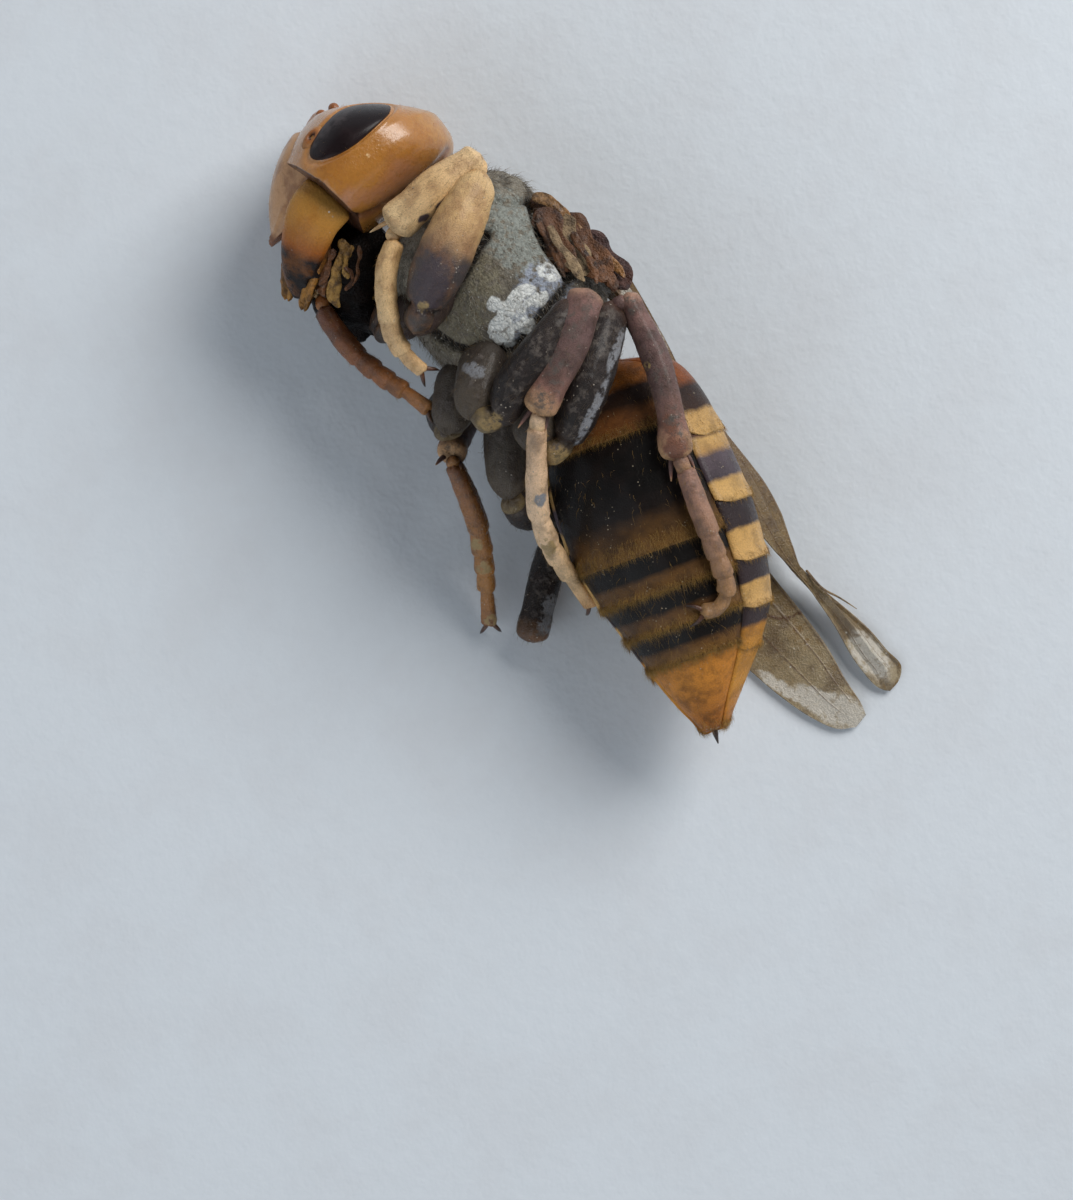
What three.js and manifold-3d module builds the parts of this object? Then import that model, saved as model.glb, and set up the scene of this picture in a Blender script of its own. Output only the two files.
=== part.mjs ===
// Asian giant hornet, dried and lying on its right side with the legs and wings folded as found.
// Millimetres, floor at z = 0, head toward -Y, tail toward +Y, +Z up.
import * as THREE from 'three';
import { mergeVertices } from 'three/addons/utils/BufferGeometryUtils.js';
import Module from 'manifold-3d';

const wasm = await Module();
wasm.setup();

const gap = 0.3; // clear space between neighbouring plates
const up = [0, 0, 1];

// Body regions. Each has its own frame: x forward, y to the left side, z to the back.
const trunk = {
  centre: [-6.35, -12.6, 5.6],
  heading: [0.1734, -0.9848],
  roll: 40,
  // forward position, half width, height above and depth below the axis, drift to the left
  stations: [
    [-5.6, 0.85, 1.5, 0.1, 0.7],
    [-4.9, 2.1, 2.3, 1.6, 0.4],
    [-3.9, 3.2, 3.2, 3.0, 0.15],
    [-2.6, 4.0, 4.0, 3.9, 0],
    [-0.8, 4.4, 4.4, 4.2, 0],
    [1.2, 4.5, 4.6, 4.2, 0],
    [3.0, 4.4, 4.6, 3.8, 0],
    [4.6, 4.05, 4.3, 3.1, 0],
    [5.7, 3.3, 3.5, 2.2, 0],
    [6.4, 2.2, 2.5, 1.2, 0],
  ],
  collarCut: { at: [4.0, 0, 0], lean: 24 },
  rearCut: { at: [-2.9, 0, 0], lean: 20 },
  scutellum: { size: [1.7, 4.6, 2.6], at: [-1.95, 0, 4.1] },
  metanotum: { size: [0.8, 4.2, 2.2], at: [-3.5, 0, 3.5] },
};

const abdomen = {
  centre: [-7.94, -7.04, 4.92],
  heading: [-0.2155, -0.9765],
  roll: 65,
  // forward position, half width, height above, depth below, drift to the left
  stations: [
    [1.0, 0.6, 0.5, 0.6, 0.95],
    [0.75, 1.5, 1.4, 1.2, 1.0],
    [0.2, 2.7, 2.4, 2.1, 1.0],
    [-0.8, 3.5, 3.2, 2.9, 0.85],
    [-2.4, 4.2, 3.7, 3.5, 0.6],
    [-4.5, 4.5, 4.0, 4.0, 0.5],
    [-7.5, 4.6, 4.05, 4.05, 0.6],
    [-10.0, 4.2, 3.8, 3.9, 0.8],
    [-12.2, 3.55, 3.2, 3.4, 0.9],
    [-14.0, 2.65, 2.5, 2.7, 0.6],
    [-15.6, 1.65, 1.6, 1.9, 0.2],
    [-16.9, 0.75, 0.8, 1.0, -0.1],
    [-17.3, 0.45, 0.45, 0.6, -0.2],
  ],
  front: 1.0,
  rears: [-2.9, -7.7, -10.2, -12.2, -13.9, -17.3],
  step: 0.14, // each ring's rear edge stands this far over the next ring
};

const skull = {
  centre: [-3.65, -22.35, 4.98],
  heading: [0.18, -0.9837],
  roll: 6,
  halfWidth: 5.05,
  // side view: reach along x and z in each quarter, with the power that bends the curve (1 is an ellipse)
  frontUpper: { x: 3.0, z: 4.42, bendX: 1.6, bendZ: 1.5 },
  frontLower: { x: 3.0, z: 5.45, bendX: 1.8, bendZ: 1 },
  rearUpper: { x: 2.9, z: 4.42, bendX: 0.7, bendZ: 0.62 },
  rearLower: { x: 2.9, z: 5.45, bendX: 0.7, bendZ: 1 },
  crownBack: 0.9, // the crown's highest point lies this far behind the widest part
  cheek: 0.72, // below 1 the sides are fuller than a ball
  jawLine: { at: [-0.3, 0, -2.35], lean: 8 },
};
const eye = { at: [1.2, 3.6, 0.25], half: [1.05, 1.9, 2.7], stand: 0.14 };
const clypeus = {
  back: 0.0,
  // half of the shield's outline from the brow down, as across and up
  outline: [[1.4, -0.3], [3.1, -2.1], [1.75, -4.4], [0.6, -5.7]],
};
// across is the blade's breadth, deep its thickness
const mandible = {
  points: [
    [-0.6, 3.05, -2.6], [-0.75, 2.9, -3.5], [-1.2, 2.45, -4.4],
    [-1.8, 1.75, -5.3], [-2.35, 1.1, -5.95], [-2.95, 0.5, -6.4],
  ],
  rings: [
    [0, 1.3, 0.7], [0.22, 1.3, 0.78], [0.45, 1.2, 0.7],
    [0.7, 0.92, 0.55], [0.88, 0.58, 0.42], [1, 0.26, 0.26],
  ],
};

// Joint positions of the six legs in the lying frame, floor at z = 0.
// Flat is how much broader than deep a piece is.
const legs = {
  fore_left: {
    coxa: { root: [3.0, 1.5, -2.4], end: [-1.72, -13.73, 9.7], radius: 1.0 },
    femur: {
      bow: [[-2.8, -14.6, 10.3], [-5.3, -16.35, 10.8]],
      end: [-8.4, -18.45, 10.2],
      radius: 1.02,
      flat: 1.2,
    },
    tibia: {
      root: [-8.8, -19.15, 9.9],
      bow: [[-5.9, -18.9, 10.1]],
      end: [-3.4, -18.5, 9.5],
      radius: 0.82,
      flat: 1.15,
    },
    tarsus: [
      [-3.3, -17.95, 9.5], [-2.2, -16.92, 9.7], [-1.35, -15.5, 9.6],
      [-0.85, -14.0, 9.15], [-0.95, -12.8, 8.65], [-1.2, -12.0, 8.3],
    ],
  },
  fore_right: {
    coxa: { root: [3.0, -1.5, -2.4], end: [-0.6, -14.4, 6.2], radius: 1.0 },
    femur: { bow: [[-1.4, -16.2, 3.1]], end: [-2.3, -18.4, 1.1], radius: 0.95, flat: 1.1 },
    tibia: {
      root: [-2.0, -18.7, 1.1],
      bow: [[-0.2, -18.5, 2.7]],
      end: [1.05, -17.95, 4.5],
      radius: 0.7,
      flat: 1.1,
    },
    tarsus: [
      [1.4, -17.4, 4.8], [1.28, -15.2, 5.2], [0.67, -13.16, 5.6],
      [-0.1, -11.4, 5.9], [-0.5, -10.4, 6.0],
    ],
  },
  mid_left: {
    coxa: { root: [-0.8, 0.9, -3.3], end: [-1.85, -8.8, 10.1], radius: 1.2 },
    femur: {
      bow: [[-3.1, -8.3, 10.6], [-4.46, -9.11, 10.8], [-6.62, -9.93, 11.2]],
      end: [-8.95, -10.95, 10.8],
      radius: 0.9,
      flat: 1.1,
    },
    tibia: {
      root: [-9.75, -11.1, 11.0],
      bow: [[-7.3, -9.1, 11.4]],
      end: [-4.59, -7.35, 11.3],
      radius: 0.76,
      flat: 1.15,
    },
    tarsus: [
      [-4.3, -6.9, 11.1], [-2.43, -3.78, 8.9], [-1.97, -2.14, 7.6],
      [-1.97, -0.58, 5.8], [-2.15, 1.62, 3.6],
    ],
  },
  mid_right: {
    coxa: { root: [-0.5, -1.6, -3.0], end: [-0.6, -8.9, 7.2], radius: 1.15 },
    femur: { bow: [[-1.2, -10.2, 4.1]], end: [-3.0, -10.6, 1.1], radius: 0.85, flat: 1.1 },
    tibia: {
      root: [-2.9, -10.1, 1.0],
      bow: [[-1.3, -9.0, 3.2]],
      end: [-0.14, -8.0, 6.0],
      radius: 0.66,
      flat: 1.1,
    },
    tarsus: [
      [-0.05, -7.6, 6.1], [0.36, -5.04, 4.6], [0.84, -3.65, 3.6],
      [1.5, -2.24, 2.4], [2.57, -0.16, 1.0],
    ],
  },
  hind_left: {
    coxa: { root: [-3.2, 1.2, -2.6], end: [-3.75, -5.75, 9.5], radius: 1.35 },
    femur: {
      bow: [[-4.7, -5.6, 9.7], [-7.34, -7.34, 10.2]],
      end: [-10.5, -10.0, 9.1],
      radius: 0.95,
      flat: 1.1,
    },
    tibia: {
      root: [-11.25, -10.05, 9.1],
      bow: [[-10.6, -5.9, 9.8]],
      end: [-9.18, -2.1, 9.9],
      radius: 0.66,
      flat: 1.1,
    },
    tarsus: [[-9.2, -1.6, 9.9], [-8.5, 1.9, 9.75], [-7.9, 4.3, 9.3], [-7.1, 4.85, 9.0], [-6.3, 4.6, 9.1]],
  },
  hind_right: {
    coxa: { root: [-3.2, -1.2, -2.6], end: [-1.4, -4.8, 6.5], radius: 1.25 },
    femur: { bow: [[-2.1, -3.9, 4.0]], end: [-3.7, -3.6, 1.9], radius: 0.9, flat: 1.1 },
    tibia: {
      root: [-3.7, -3.1, 1.6],
      bow: [[-1.4, -1.1, 1.7]],
      end: [1.3, 1.6, 1.8],
      radius: 0.74,
      flat: 1.1,
    },
    tarsus: [
      [0.75, 1.15, 0.5], [-1.3, -0.9, 0.45], [-2.7, -2.3, 0.45],
      [-3.8, -3.3, 0.45], [-4.6, -4.3, 0.45],
    ],
  },
};
const noSpur = 'hind_right'; // its spur is pressed flat under the shin

// Wings: the front and the hind edge from root to tip in the lying frame, with membrane thickness.
// Veins are shares of the way from the front edge to the hind edge.
const wings = {
  forewing_left: {
    front: [
      [-10.84, -14.81, 6.9], [-11.4, -13.29, 6.2], [-11.9, -11.9, 5.5], [-12.0, -10.37, 4.8],
      [-11.95, -7.67, 4.0],
      [-12.2, -1.0, 2.1], [-12.1, 4.6, 0.95], [-12.75, 8.6, 0.42], [-13.5, 12.0, 0.3],
    ],
    hind: [
      [-10.2, -14.62, 7.6], [-10.45, -13.02, 7.6], [-10.85, -11.68, 7.2], [-11.1, -10.02, 6.5],
      [-11.1, -7.4, 5.8],
      [-11.3, -0.95, 4.7], [-11.2, 4.4, 3.0], [-11.45, 8.4, 1.2], [-12.45, 12.75, 0.3],
    ],
    thickness: 0.52,
    veins: [0, 0.3, 0.62, 1],
  },
  hindwing_left: {
    front: [
      [-10.95, -13.0, 5.2], [-11.5, -10.6, 4.5], [-11.45, -7.99, 3.6],
      [-11.36, -5.71, 3.2], [-11.3, -2.0, 2.4], [-11.15, 2.4, 1.2],
    ],
    hind: [
      [-10.3, -13.0, 4.3], [-11.05, -10.6, 3.3], [-10.95, -7.6, 2.4],
      [-10.7, -5.5, 1.9], [-10.4, -2.0, 1.2], [-10.7, 2.3, 1.0],
    ],
    thickness: 0.5,
    veins: [0, 0.5, 1],
  },
  forewing_right: {
    front: [
      [-5.7, -14.3, 0.3], [-8.4, -10.5, 0.27], [-9.6, -4.0, 0.26], [-10.3, 2.0, 0.26], [-10.6, 6.0, 0.26],
      [-11.1, 9.8, 0.26], [-10.6, 13.1, 0.26],
    ],
    hind: [
      [-5.0, -13.9, 0.3], [-5.5, -10.5, 0.27], [-5.7, -4.0, 0.26], [-5.7, 2.0, 0.26], [-6.3, 6.0, 0.26],
      [-7.9, 11.2, 0.26], [-9.9, 13.3, 0.26],
    ],
    thickness: 0.5,
    veins: [0, 0.28, 0.6, 1],
  },
  hindwing_right: {
    front: [
      [-6.6, -12.3, 1.1], [-9.4, -9.0, 1.1], [-10.0, -5.0, 1.08],
      [-10.1, 0.0, 1.06], [-9.9, 4.2, 1.06],
    ],
    hind: [[-6.4, -11.7, 1.1], [-8.3, -9.0, 1.1], [-8.5, -5.0, 1.08], [-8.8, 0.0, 1.06], [-9.3, 4.2, 1.06]],
    thickness: 0.5,
    veins: [0, 0.5, 1],
  },
};

const colours = {
  head: '#c9812c', clypeus: '#d08a34', eye: '#3a2a22', mandible: '#c4661c', mouth: '#8a5a22',
  scape: '#b8661e', flagellum: '#5a2d16', trunk: '#2a2622', scutellum: '#3a2e22', tegula: '#a8561c',
  coxa: '#2c2622', foreFemur: '#b98234', femur: '#2a201d', foreTibia: '#c98a34', tibia: '#3a231d',
  tarsus: '#8a4a20', wing: '#b07c3c', ring: '#5a3218', lastRing: '#c0681c', sting: '#2a1812',
};

// The value of one column of a table of stations at position x, as a smooth curve through the rows.
function along(table, x, column) {
  const rising = table[0][0] < table[table.length - 1][0];
  const rows = rising ? table : [...table].reverse();
  const last = rows.length - 1;
  const at = Math.min(Math.max(x, rows[0][0]), rows[last][0]);
  let k = 0;
  while (k < last - 1 && at > rows[k + 1][0]) k += 1;
  const slope = (i) => {
    const a = rows[Math.max(i - 1, 0)];
    const b = rows[Math.min(i + 1, last)];
    return (b[column] - a[column]) / (b[0] - a[0]);
  };
  const span = rows[k + 1][0] - rows[k][0];
  const t = (at - rows[k][0]) / span;
  const from = rows[k][column];
  const to = rows[k + 1][column];
  const ease = t * t * (3 - 2 * t);
  const leave = t * (1 - t) * (1 - t);
  const arrive = t * t * (1 - t);
  return from + (to - from) * ease + span * (slope(k) * leave - slope(k + 1) * arrive);
}

function frameOf({ centre, heading, roll }) {
  const turn = THREE.MathUtils.degToRad(roll);
  const forward = new THREE.Vector3(heading[0], heading[1], 0).normalize();
  const across = new THREE.Vector3(forward.y, -forward.x, 0);
  const left = new THREE.Vector3(0, 0, Math.cos(turn)).addScaledVector(across, Math.sin(turn));
  const back = new THREE.Vector3(0, 0, -Math.sin(turn)).addScaledVector(across, Math.cos(turn));
  return new THREE.Matrix4().makeBasis(forward, left, back).setPosition(...centre);
}

const trunkFrame = frameOf(trunk);
const abdomenFrame = frameOf(abdomen);
const skullFrame = frameOf(skull);

function placed(point, frame) {
  return new THREE.Vector3(...point).applyMatrix4(frame).toArray();
}

// A closed geometry as a solid that can be joined and cut.
function solid(geometry, frame = new THREE.Matrix4()) {
  const clean = geometry.clone().applyMatrix4(frame);
  clean.deleteAttribute('normal');
  clean.deleteAttribute('uv');
  const merged = mergeVertices(clean, 1e-4);
  const triVerts = [];
  const index = merged.index.array;
  for (let i = 0; i < index.length; i += 3) {
    const [a, b, c] = [index[i], index[i + 1], index[i + 2]];
    if (a !== b && b !== c && a !== c) triVerts.push(a, b, c);
  }
  return new wasm.Manifold(new wasm.Mesh({
    numProp: 3,
    vertProperties: new Float32Array(merged.attributes.position.array),
    triVerts: new Uint32Array(triVerts),
  }));
}

function warped(geometry, change) {
  const position = geometry.attributes.position;
  const point = new THREE.Vector3();
  for (let i = 0; i < position.count; i += 1) {
    point.fromBufferAttribute(position, i);
    change(point);
    position.setXYZ(i, point.x, point.y, point.z);
  }
  return geometry;
}

// A body region between two forward positions: a tube warped to the table of stations.
function barrel(stations, from, to, { grow = 0, rows = 8, turns = 32, flare = 0 } = {}) {
  return warped(new THREE.CylinderGeometry(1, 1, 1, turns, rows), (p) => {
    const t = p.y + 0.5;
    const x = to + (from - to) * t;
    const swell = grow + flare * (1 - t);
    const wide = along(stations, x, 1) + swell;
    const tall = (p.z > 0 ? along(stations, x, 2) : along(stations, x, 3)) + swell;
    const drift = stations[0].length > 4 ? along(stations, x, 4) : 0;
    const past = grow * (2 * t - 1);
    p.set(x + past, drift - p.x * wide, p.z * tall);
  });
}

function curveThrough(points) {
  return new THREE.CatmullRomCurve3(points.map((p) => new THREE.Vector3(...p)), false, 'centripetal');
}

// A leg piece or feeler: a tube along a curve, with rings of
// [share of length, half size toward the side direction, half size across it].
function limb(points, rings, { grow = 0, side = up, turns = 10 } = {}) {
  const path = curveThrough(points);
  const sideways = new THREE.Vector3(...side);
  const last = rings.length - 1;
  return warped(new THREE.CylinderGeometry(1, 1, 1, turns, last), (p) => {
    const k = Math.round((0.5 - p.y) * last);
    const [t, wide, deep = wide] = rings[k];
    const centre = path.getPointAt(t);
    const way = path.getTangentAt(t);
    const across = sideways.clone().addScaledVector(way, -sideways.dot(way)).normalize();
    const third = new THREE.Vector3().crossVectors(way, across);
    const past = k === 0 ? -grow : k === last ? grow : 0;
    centre.addScaledVector(way, past).addScaledVector(across, p.x * (wide + grow));
    p.copy(centre.addScaledVector(third, p.z * (deep + grow)));
  });
}

// A wing blade between its front and hind edges, with veins standing on both faces.
function blade({ front, hind, thickness, veins }, grow = 0) {
  const frontEdge = curveThrough(front);
  const hindEdge = curveThrough(hind);
  const spanRows = 16;
  const chordRows = 8;
  const sheet = new THREE.BoxGeometry(1, 1, 1, spanRows, chordRows, 1);
  const index = sheet.index;
  const rearFace = sheet.groups[5];
  for (let i = rearFace.start; i < rearFace.start + rearFace.count; i += 6) {
    const [a, b, d] = [index.getX(i), index.getX(i + 1), index.getX(i + 2)];
    const c = index.getX(i + 4);
    [a, b, c, a, c, d].forEach((v, n) => index.setX(i + n, v));
  }
  return warped(sheet, (p) => {
    const t = THREE.MathUtils.clamp(p.x + 0.5, 0, 1);
    const v = p.y + 0.5;
    const face = 2 * p.z;
    const a = frontEdge.getPointAt(t);
    const b = hindEdge.getPointAt(t);
    const chord = b.clone().sub(a);
    const width = chord.length();
    const alongSpan = frontEdge.getTangentAt(t);
    const normal = new THREE.Vector3().crossVectors(alongSpan, chord).normalize();
    const onVein = veins.some((share) => Math.abs(share - v) < 0.5 / chordRows);
    const half = thickness / 2 + (onVein && p.z > 0 ? 0.08 : 0) + grow;
    const chordPast = (2 * v - 1) * grow;
    const spanPast = p.x * 2 * grow * (Math.abs(p.x) > 0.49 ? 1 : 0);
    p.copy(a).addScaledVector(chord, v + chordPast / width).addScaledVector(alongSpan, spanPast)
      .addScaledVector(normal, face * half);
  });
}

function skullForm(grow = 0) {
  return warped(new THREE.SphereGeometry(1, 30, 18), (p) => {
    // the ball's poles are at its sides once its y axis is the head's width
    const around = Math.atan2(p.z, p.x);
    const [c, s] = [Math.cos(around), Math.sin(around)];
    const quarter = skull[(c > 0 ? 'front' : 'rear') + (s > 0 ? 'Upper' : 'Lower')];
    const shrink = Math.hypot(p.x, p.z) ** skull.cheek;
    const x = Math.sign(c) * (quarter.x + grow) * Math.abs(c) ** quarter.bendX * shrink;
    const z = Math.sign(s) * (quarter.z + grow) * Math.abs(s) ** quarter.bendZ * shrink;
    const setBack = skull.crownBack * (Math.max(z, 0) / skull.rearUpper.z) ** 2;
    p.set(x - setBack, p.y * (skull.halfWidth + grow), z);
  });
}

function ellipsoid(at, half, grow = 0, rows = 12) {
  return warped(new THREE.SphereGeometry(1, rows * 2, rows), (p) => {
    p.set(at[0] + p.x * (half[0] + grow), at[1] + p.y * (half[1] + grow), at[2] + p.z * (half[2] + grow));
  });
}

function box(size, at) {
  return new THREE.BoxGeometry(...size).translate(...at);
}

function clypeusBlock(grow = 0) {
  const middle = new THREE.Vector2(0, -3.2);
  const mirrored = [...clypeus.outline].reverse().map(([y, z]) => [-y, z]);
  const outline = [...clypeus.outline, ...mirrored].map((corner) => {
    const away = new THREE.Vector2(...corner).sub(middle);
    return away.setLength(away.length() + grow).add(middle);
  });
  const block = new THREE.ExtrudeGeometry(new THREE.Shape(outline), { depth: 5, bevelEnabled: false });
  // the drawing plane's x becomes y, its y becomes z, and the depth runs forward
  block.applyMatrix4(new THREE.Matrix4().makeBasis(
    new THREE.Vector3(0, 1, 0), new THREE.Vector3(0, 0, 1), new THREE.Vector3(1, 0, 0)));
  block.translate(clypeus.back - grow, 0, 0);
  return block;
}

const clearCut = 60; // longer than any region, for half spaces

// Half space forward of a leaning plane, as a large box. Turned by 90 degrees it is the half space below.
function ahead({ at, lean }, shift, frame) {
  const block = box([clearCut, clearCut, clearCut], [clearCut / 2 + shift, 0, 0]);
  block.rotateY(THREE.MathUtils.degToRad(lean));
  block.translate(...at);
  return solid(block, frame);
}

const floorSlab = solid(box([200, 200, 20], [0, 0, -10]));
const nodes = [];

function largest(form) {
  const bodies = form.decompose();
  bodies.sort((a, b) => b.volume() - a.volume());
  return bodies[0];
}

// Adds a node: its solid, cut clear of every earlier node by the gap, and its grown form for later nodes.
function add(name, colour, form) {
  let body = form(0).subtract(floorSlab);
  const { min, max } = body.boundingBox();
  for (const other of nodes) {
    const near = [0, 1, 2].every((k) => min[k] <= other.reach.max[k] && max[k] >= other.reach.min[k]);
    if (near) body = body.subtract(other.grown);
  }
  body = largest(body.simplify(0.01));
  const grown = form(gap);
  nodes.push({ name, colour, body, grown, reach: grown.boundingBox() });
}

// trunk
const wholeTrunk = (grow) => solid(
  barrel(trunk.stations, 6.4, -5.6, { grow, rows: 16, turns: 28 }), trunkFrame);
const aheadOfCollar = (shift) => ahead(trunk.collarCut, shift, trunkFrame);
const aheadOfRear = (shift) => ahead(trunk.rearCut, shift, trunkFrame);
const plate = ({ size, at }, grow) => solid(
  box([size[0] + 2 * grow, size[1] + 2 * grow, size[2] + 2 * grow], at), trunkFrame);

add('scutellum', colours.scutellum, (grow) => wholeTrunk(grow + 0.12)
  .intersect(plate(trunk.scutellum, grow)));
add('metanotum', colours.scutellum, (grow) => wholeTrunk(grow + 0.06)
  .intersect(plate(trunk.metanotum, grow)));
add('mesothorax', colours.trunk, (grow) => wholeTrunk(grow)
  .subtract(aheadOfCollar(grow)).intersect(aheadOfRear(-grow)));
add('pronotum', colours.trunk, (grow) => wholeTrunk(grow).intersect(aheadOfCollar(-grow)));
add('propodeum', colours.trunk, (grow) => wholeTrunk(grow).subtract(aheadOfRear(grow)));

// abdomen
abdomen.rears.forEach((rear, k) => {
  const from = k === 0 ? abdomen.front : abdomen.rears[k - 1];
  const colour = k === 5 ? colours.lastRing : colours.ring;
  const shape = { rows: k < 2 ? 5 : 3, turns: 28, flare: k < 5 ? abdomen.step : 0 };
  add(`gaster_${k + 1}`, colour, (grow) => solid(
    barrel(abdomen.stations, from, rear, { grow, ...shape }), abdomenFrame));
});
add('sting', colours.sting, (grow) => solid(limb(
  [[-16.4, -0.1, 0], [-17.3, -0.2, -0.1], [-18.0, -0.2, -0.25]].map((p) => placed(p, abdomenFrame)),
  [[0, 0.28], [0.6, 0.25], [1, 0.08]], { grow, turns: 8 })));

// head
for (const [name, hand] of [['left', 1], ['right', -1]]) {
  const at = [eye.at[0], hand * eye.at[1], eye.at[2]];
  add(`eye_${name}`, colours.eye, (grow) => solid(skullForm(grow + eye.stand), skullFrame)
    .intersect(solid(ellipsoid(at, eye.half, grow, 9), skullFrame)));
}
add('clypeus', colours.clypeus, (grow) => solid(skullForm(grow + 0.1), skullFrame)
  .intersect(solid(clypeusBlock(grow), skullFrame)));
const skullForward = placed([1, 0, 0], new THREE.Matrix4().extractRotation(skullFrame));
for (const [name, hand] of [['left', 1], ['right', -1]]) {
  const lift = hand < 0 ? 0.1 : 0; // the right jaw closes behind the left
  const points = mandible.points.map(([x, y, z], k) => placed([x, hand * y, z + lift * k], skullFrame));
  add(`mandible_${name}`, colours.mandible, (grow) => solid(limb(points, mandible.rings,
    { grow, side: skullForward, turns: 10 })));
}
const jawCut = { at: skull.jawLine.at, lean: 90 + skull.jawLine.lean };
const belowJaw = (shift) => ahead(jawCut, shift, skullFrame);
add('head', colours.head, (grow) => solid(skullForm(grow), skullFrame).subtract(belowJaw(grow)));
add('labium', colours.mouth, (grow) => solid(limb(
  [[-1.0, 0, -4.0], [-1.6, 0, -5.4], [-2.6, 0.1, -6.8]].map((p) => placed(p, skullFrame)),
  [[0, 0.9, 0.6], [0.5, 0.8, 0.5], [1, 0.35, 0.28]], { grow })));
for (const [name, hand] of [['left', 1], ['right', -1]]) {
  const points = [[-1.4, 1.5, -3.4], [-2.4, 1.5, -4.8], [-3.4, 1.3, -6.4]];
  const path = points.map(([x, y, z]) => placed([x, hand * y, z], skullFrame));
  add(`maxilla_${name}`, colours.mouth, (grow) => solid(limb(
    path, [[0, 0.6, 0.45], [0.5, 0.6, 0.4], [1, 0.3, 0.26]], { grow })));
}
const feelers = {
  left: {
    scape: [[2.8, 0.9, 0.3], [2.95, -0.9, 0.1], [2.75, -2.6, -0.4]],
    flagellum: [
      [2.65, -3.0, -0.6], [1.9, -3.9, -1.6], [0.6, -4.1, -3.2],
      [-0.8, -3.9, -4.6], [-2.6, -3.9, -5.4],
    ],
  },
  right: {
    scape: [[2.9, -0.9, 1.2], [2.6, -2.6, 1.2], [1.9, -4.0, 0.8]],
    flagellum: [
      [1.7, -4.4, 0.5], [1.2, -4.75, -1.1], [0.1, -4.8, -3.0],
      [-1.4, -4.7, -4.2], [-3.2, -4.5, -4.6],
    ],
  },
};
for (const [name, { scape, flagellum }] of Object.entries(feelers)) {
  const [shaft, whip] = [scape, flagellum].map((points) => points.map((p) => placed(p, skullFrame)));
  add(`scape_${name}`, colours.scape, (grow) => solid(limb(
    shaft, [[0, 0.3], [0.12, 0.28], [0.5, 0.32], [0.9, 0.4], [1, 0.34]], { grow })));
  const rings = [];
  for (let k = 0; k < 12; k += 1) rings.push([k / 12, 0.27 + 0.02 * (k % 2)]);
  rings.push([1, 0.18]);
  add(`flagellum_${name}`, colours.flagellum, (grow) => solid(limb(whip, rings, { grow, turns: 6 })));
}
add('neck', colours.trunk, (grow) => solid(limb(
  [placed([6.3, 0, 0.2], trunkFrame), placed([-2.3, 0, 0.8], skullFrame)],
  [[0, 1.2], [0.5, 0.95], [1, 1.2]], { grow, turns: 12 })));

for (const [name, hand] of [['left', 1], ['right', -1]]) {
  const at = [2.05, hand * 3.85, 2.3];
  add(`tegula_${name}`, colours.tegula, (grow) => solid(
    ellipsoid(at, [1.1, 0.75, 0.8], grow, 7), trunkFrame));
}

// legs
const tarsusRings = [];
const segments = [
  [0, 0.42, 0.55], [0.43, 0.56, 0.53], [0.57, 0.68, 0.51], [0.69, 0.79, 0.48], [0.8, 1, 0.42],
];
for (const [from, to, wide] of segments) {
  tarsusRings.push([from, wide * 0.82], [to, wide]);
}
const claw = { length: 0.95, spread: 0.45, hook: 0.35, rings: [[0, 0.22], [0.5, 0.17], [1, 0.06]] };
const spur = { length: 1.3, rings: [[0, 0.2], [0.6, 0.14], [1, 0.05]] };

function together(forms) {
  return forms.reduce((whole, next) => whole.add(next));
}

// The end of a limb as a frame: its tip, the way it points and a sideways direction.
function endOf(points) {
  const tip = new THREE.Vector3(...points[points.length - 1]);
  const way = tip.clone().sub(new THREE.Vector3(...points[points.length - 2])).normalize();
  const sideways = new THREE.Vector3(...up).addScaledVector(way, -way.z).normalize();
  return { tip, way, sideways, third: new THREE.Vector3().crossVectors(way, sideways) };
}

function foot(points, grow) {
  const { tip, way, sideways, third } = endOf(points);
  const claws = [-1, 1].map((hand) => {
    const root = tip.clone().addScaledVector(way, -0.2);
    const knuckle = tip.clone().addScaledVector(way, claw.length * 0.55)
      .addScaledVector(third, hand * claw.spread);
    const point = tip.clone().addScaledVector(way, claw.length * 0.8)
      .addScaledVector(third, hand * claw.spread * 1.4).addScaledVector(sideways, -claw.hook);
    return solid(limb([root, knuckle, point].map((p) => p.toArray()), claw.rings, { grow, turns: 6 }));
  });
  return together([solid(limb(points, tarsusRings, { grow, turns: 8 })), ...claws]);
}

function shin(points, rings, grow, spurred) {
  const bare = solid(limb(points, rings, { grow, turns: 8 }));
  if (!spurred) return bare;
  const { tip, way, third } = endOf(points);
  const root = tip.clone().addScaledVector(way, -0.5).addScaledVector(third, 0.25);
  const point = tip.clone().addScaledVector(way, spur.length - 0.5).addScaledVector(third, 0.75);
  const mid = root.clone().lerp(point, 0.5).addScaledVector(third, 0.12);
  return bare.add(solid(limb([root, mid, point].map((p) => p.toArray()), spur.rings, { grow, turns: 6 })));
}

// Rings for a piece of a given half depth, from rows of [share of length, share of the half depth].
function ringsOf(rows, { radius, flat }) {
  return rows.map(([t, share]) => [t, share * radius, share * radius * flat]);
}

const hipRows = [[0, 0.9], [0.35, 1], [0.7, 0.88], [0.92, 0.66], [1, 0.45]];
const trochanter = [[0, 0.44, 0.5], [0.05, 0.56, 0.66], [0.13, 0.55, 0.6]];
const thighRows = [[0.19, 0.74], [0.38, 1], [0.65, 0.98], [0.88, 0.8], [0.97, 0.66], [1, 0.45]];
const shinRows = [[0, 0.5], [0.06, 0.7], [0.14, 0.8], [0.5, 0.92], [0.9, 1], [1, 0.78]];

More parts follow.
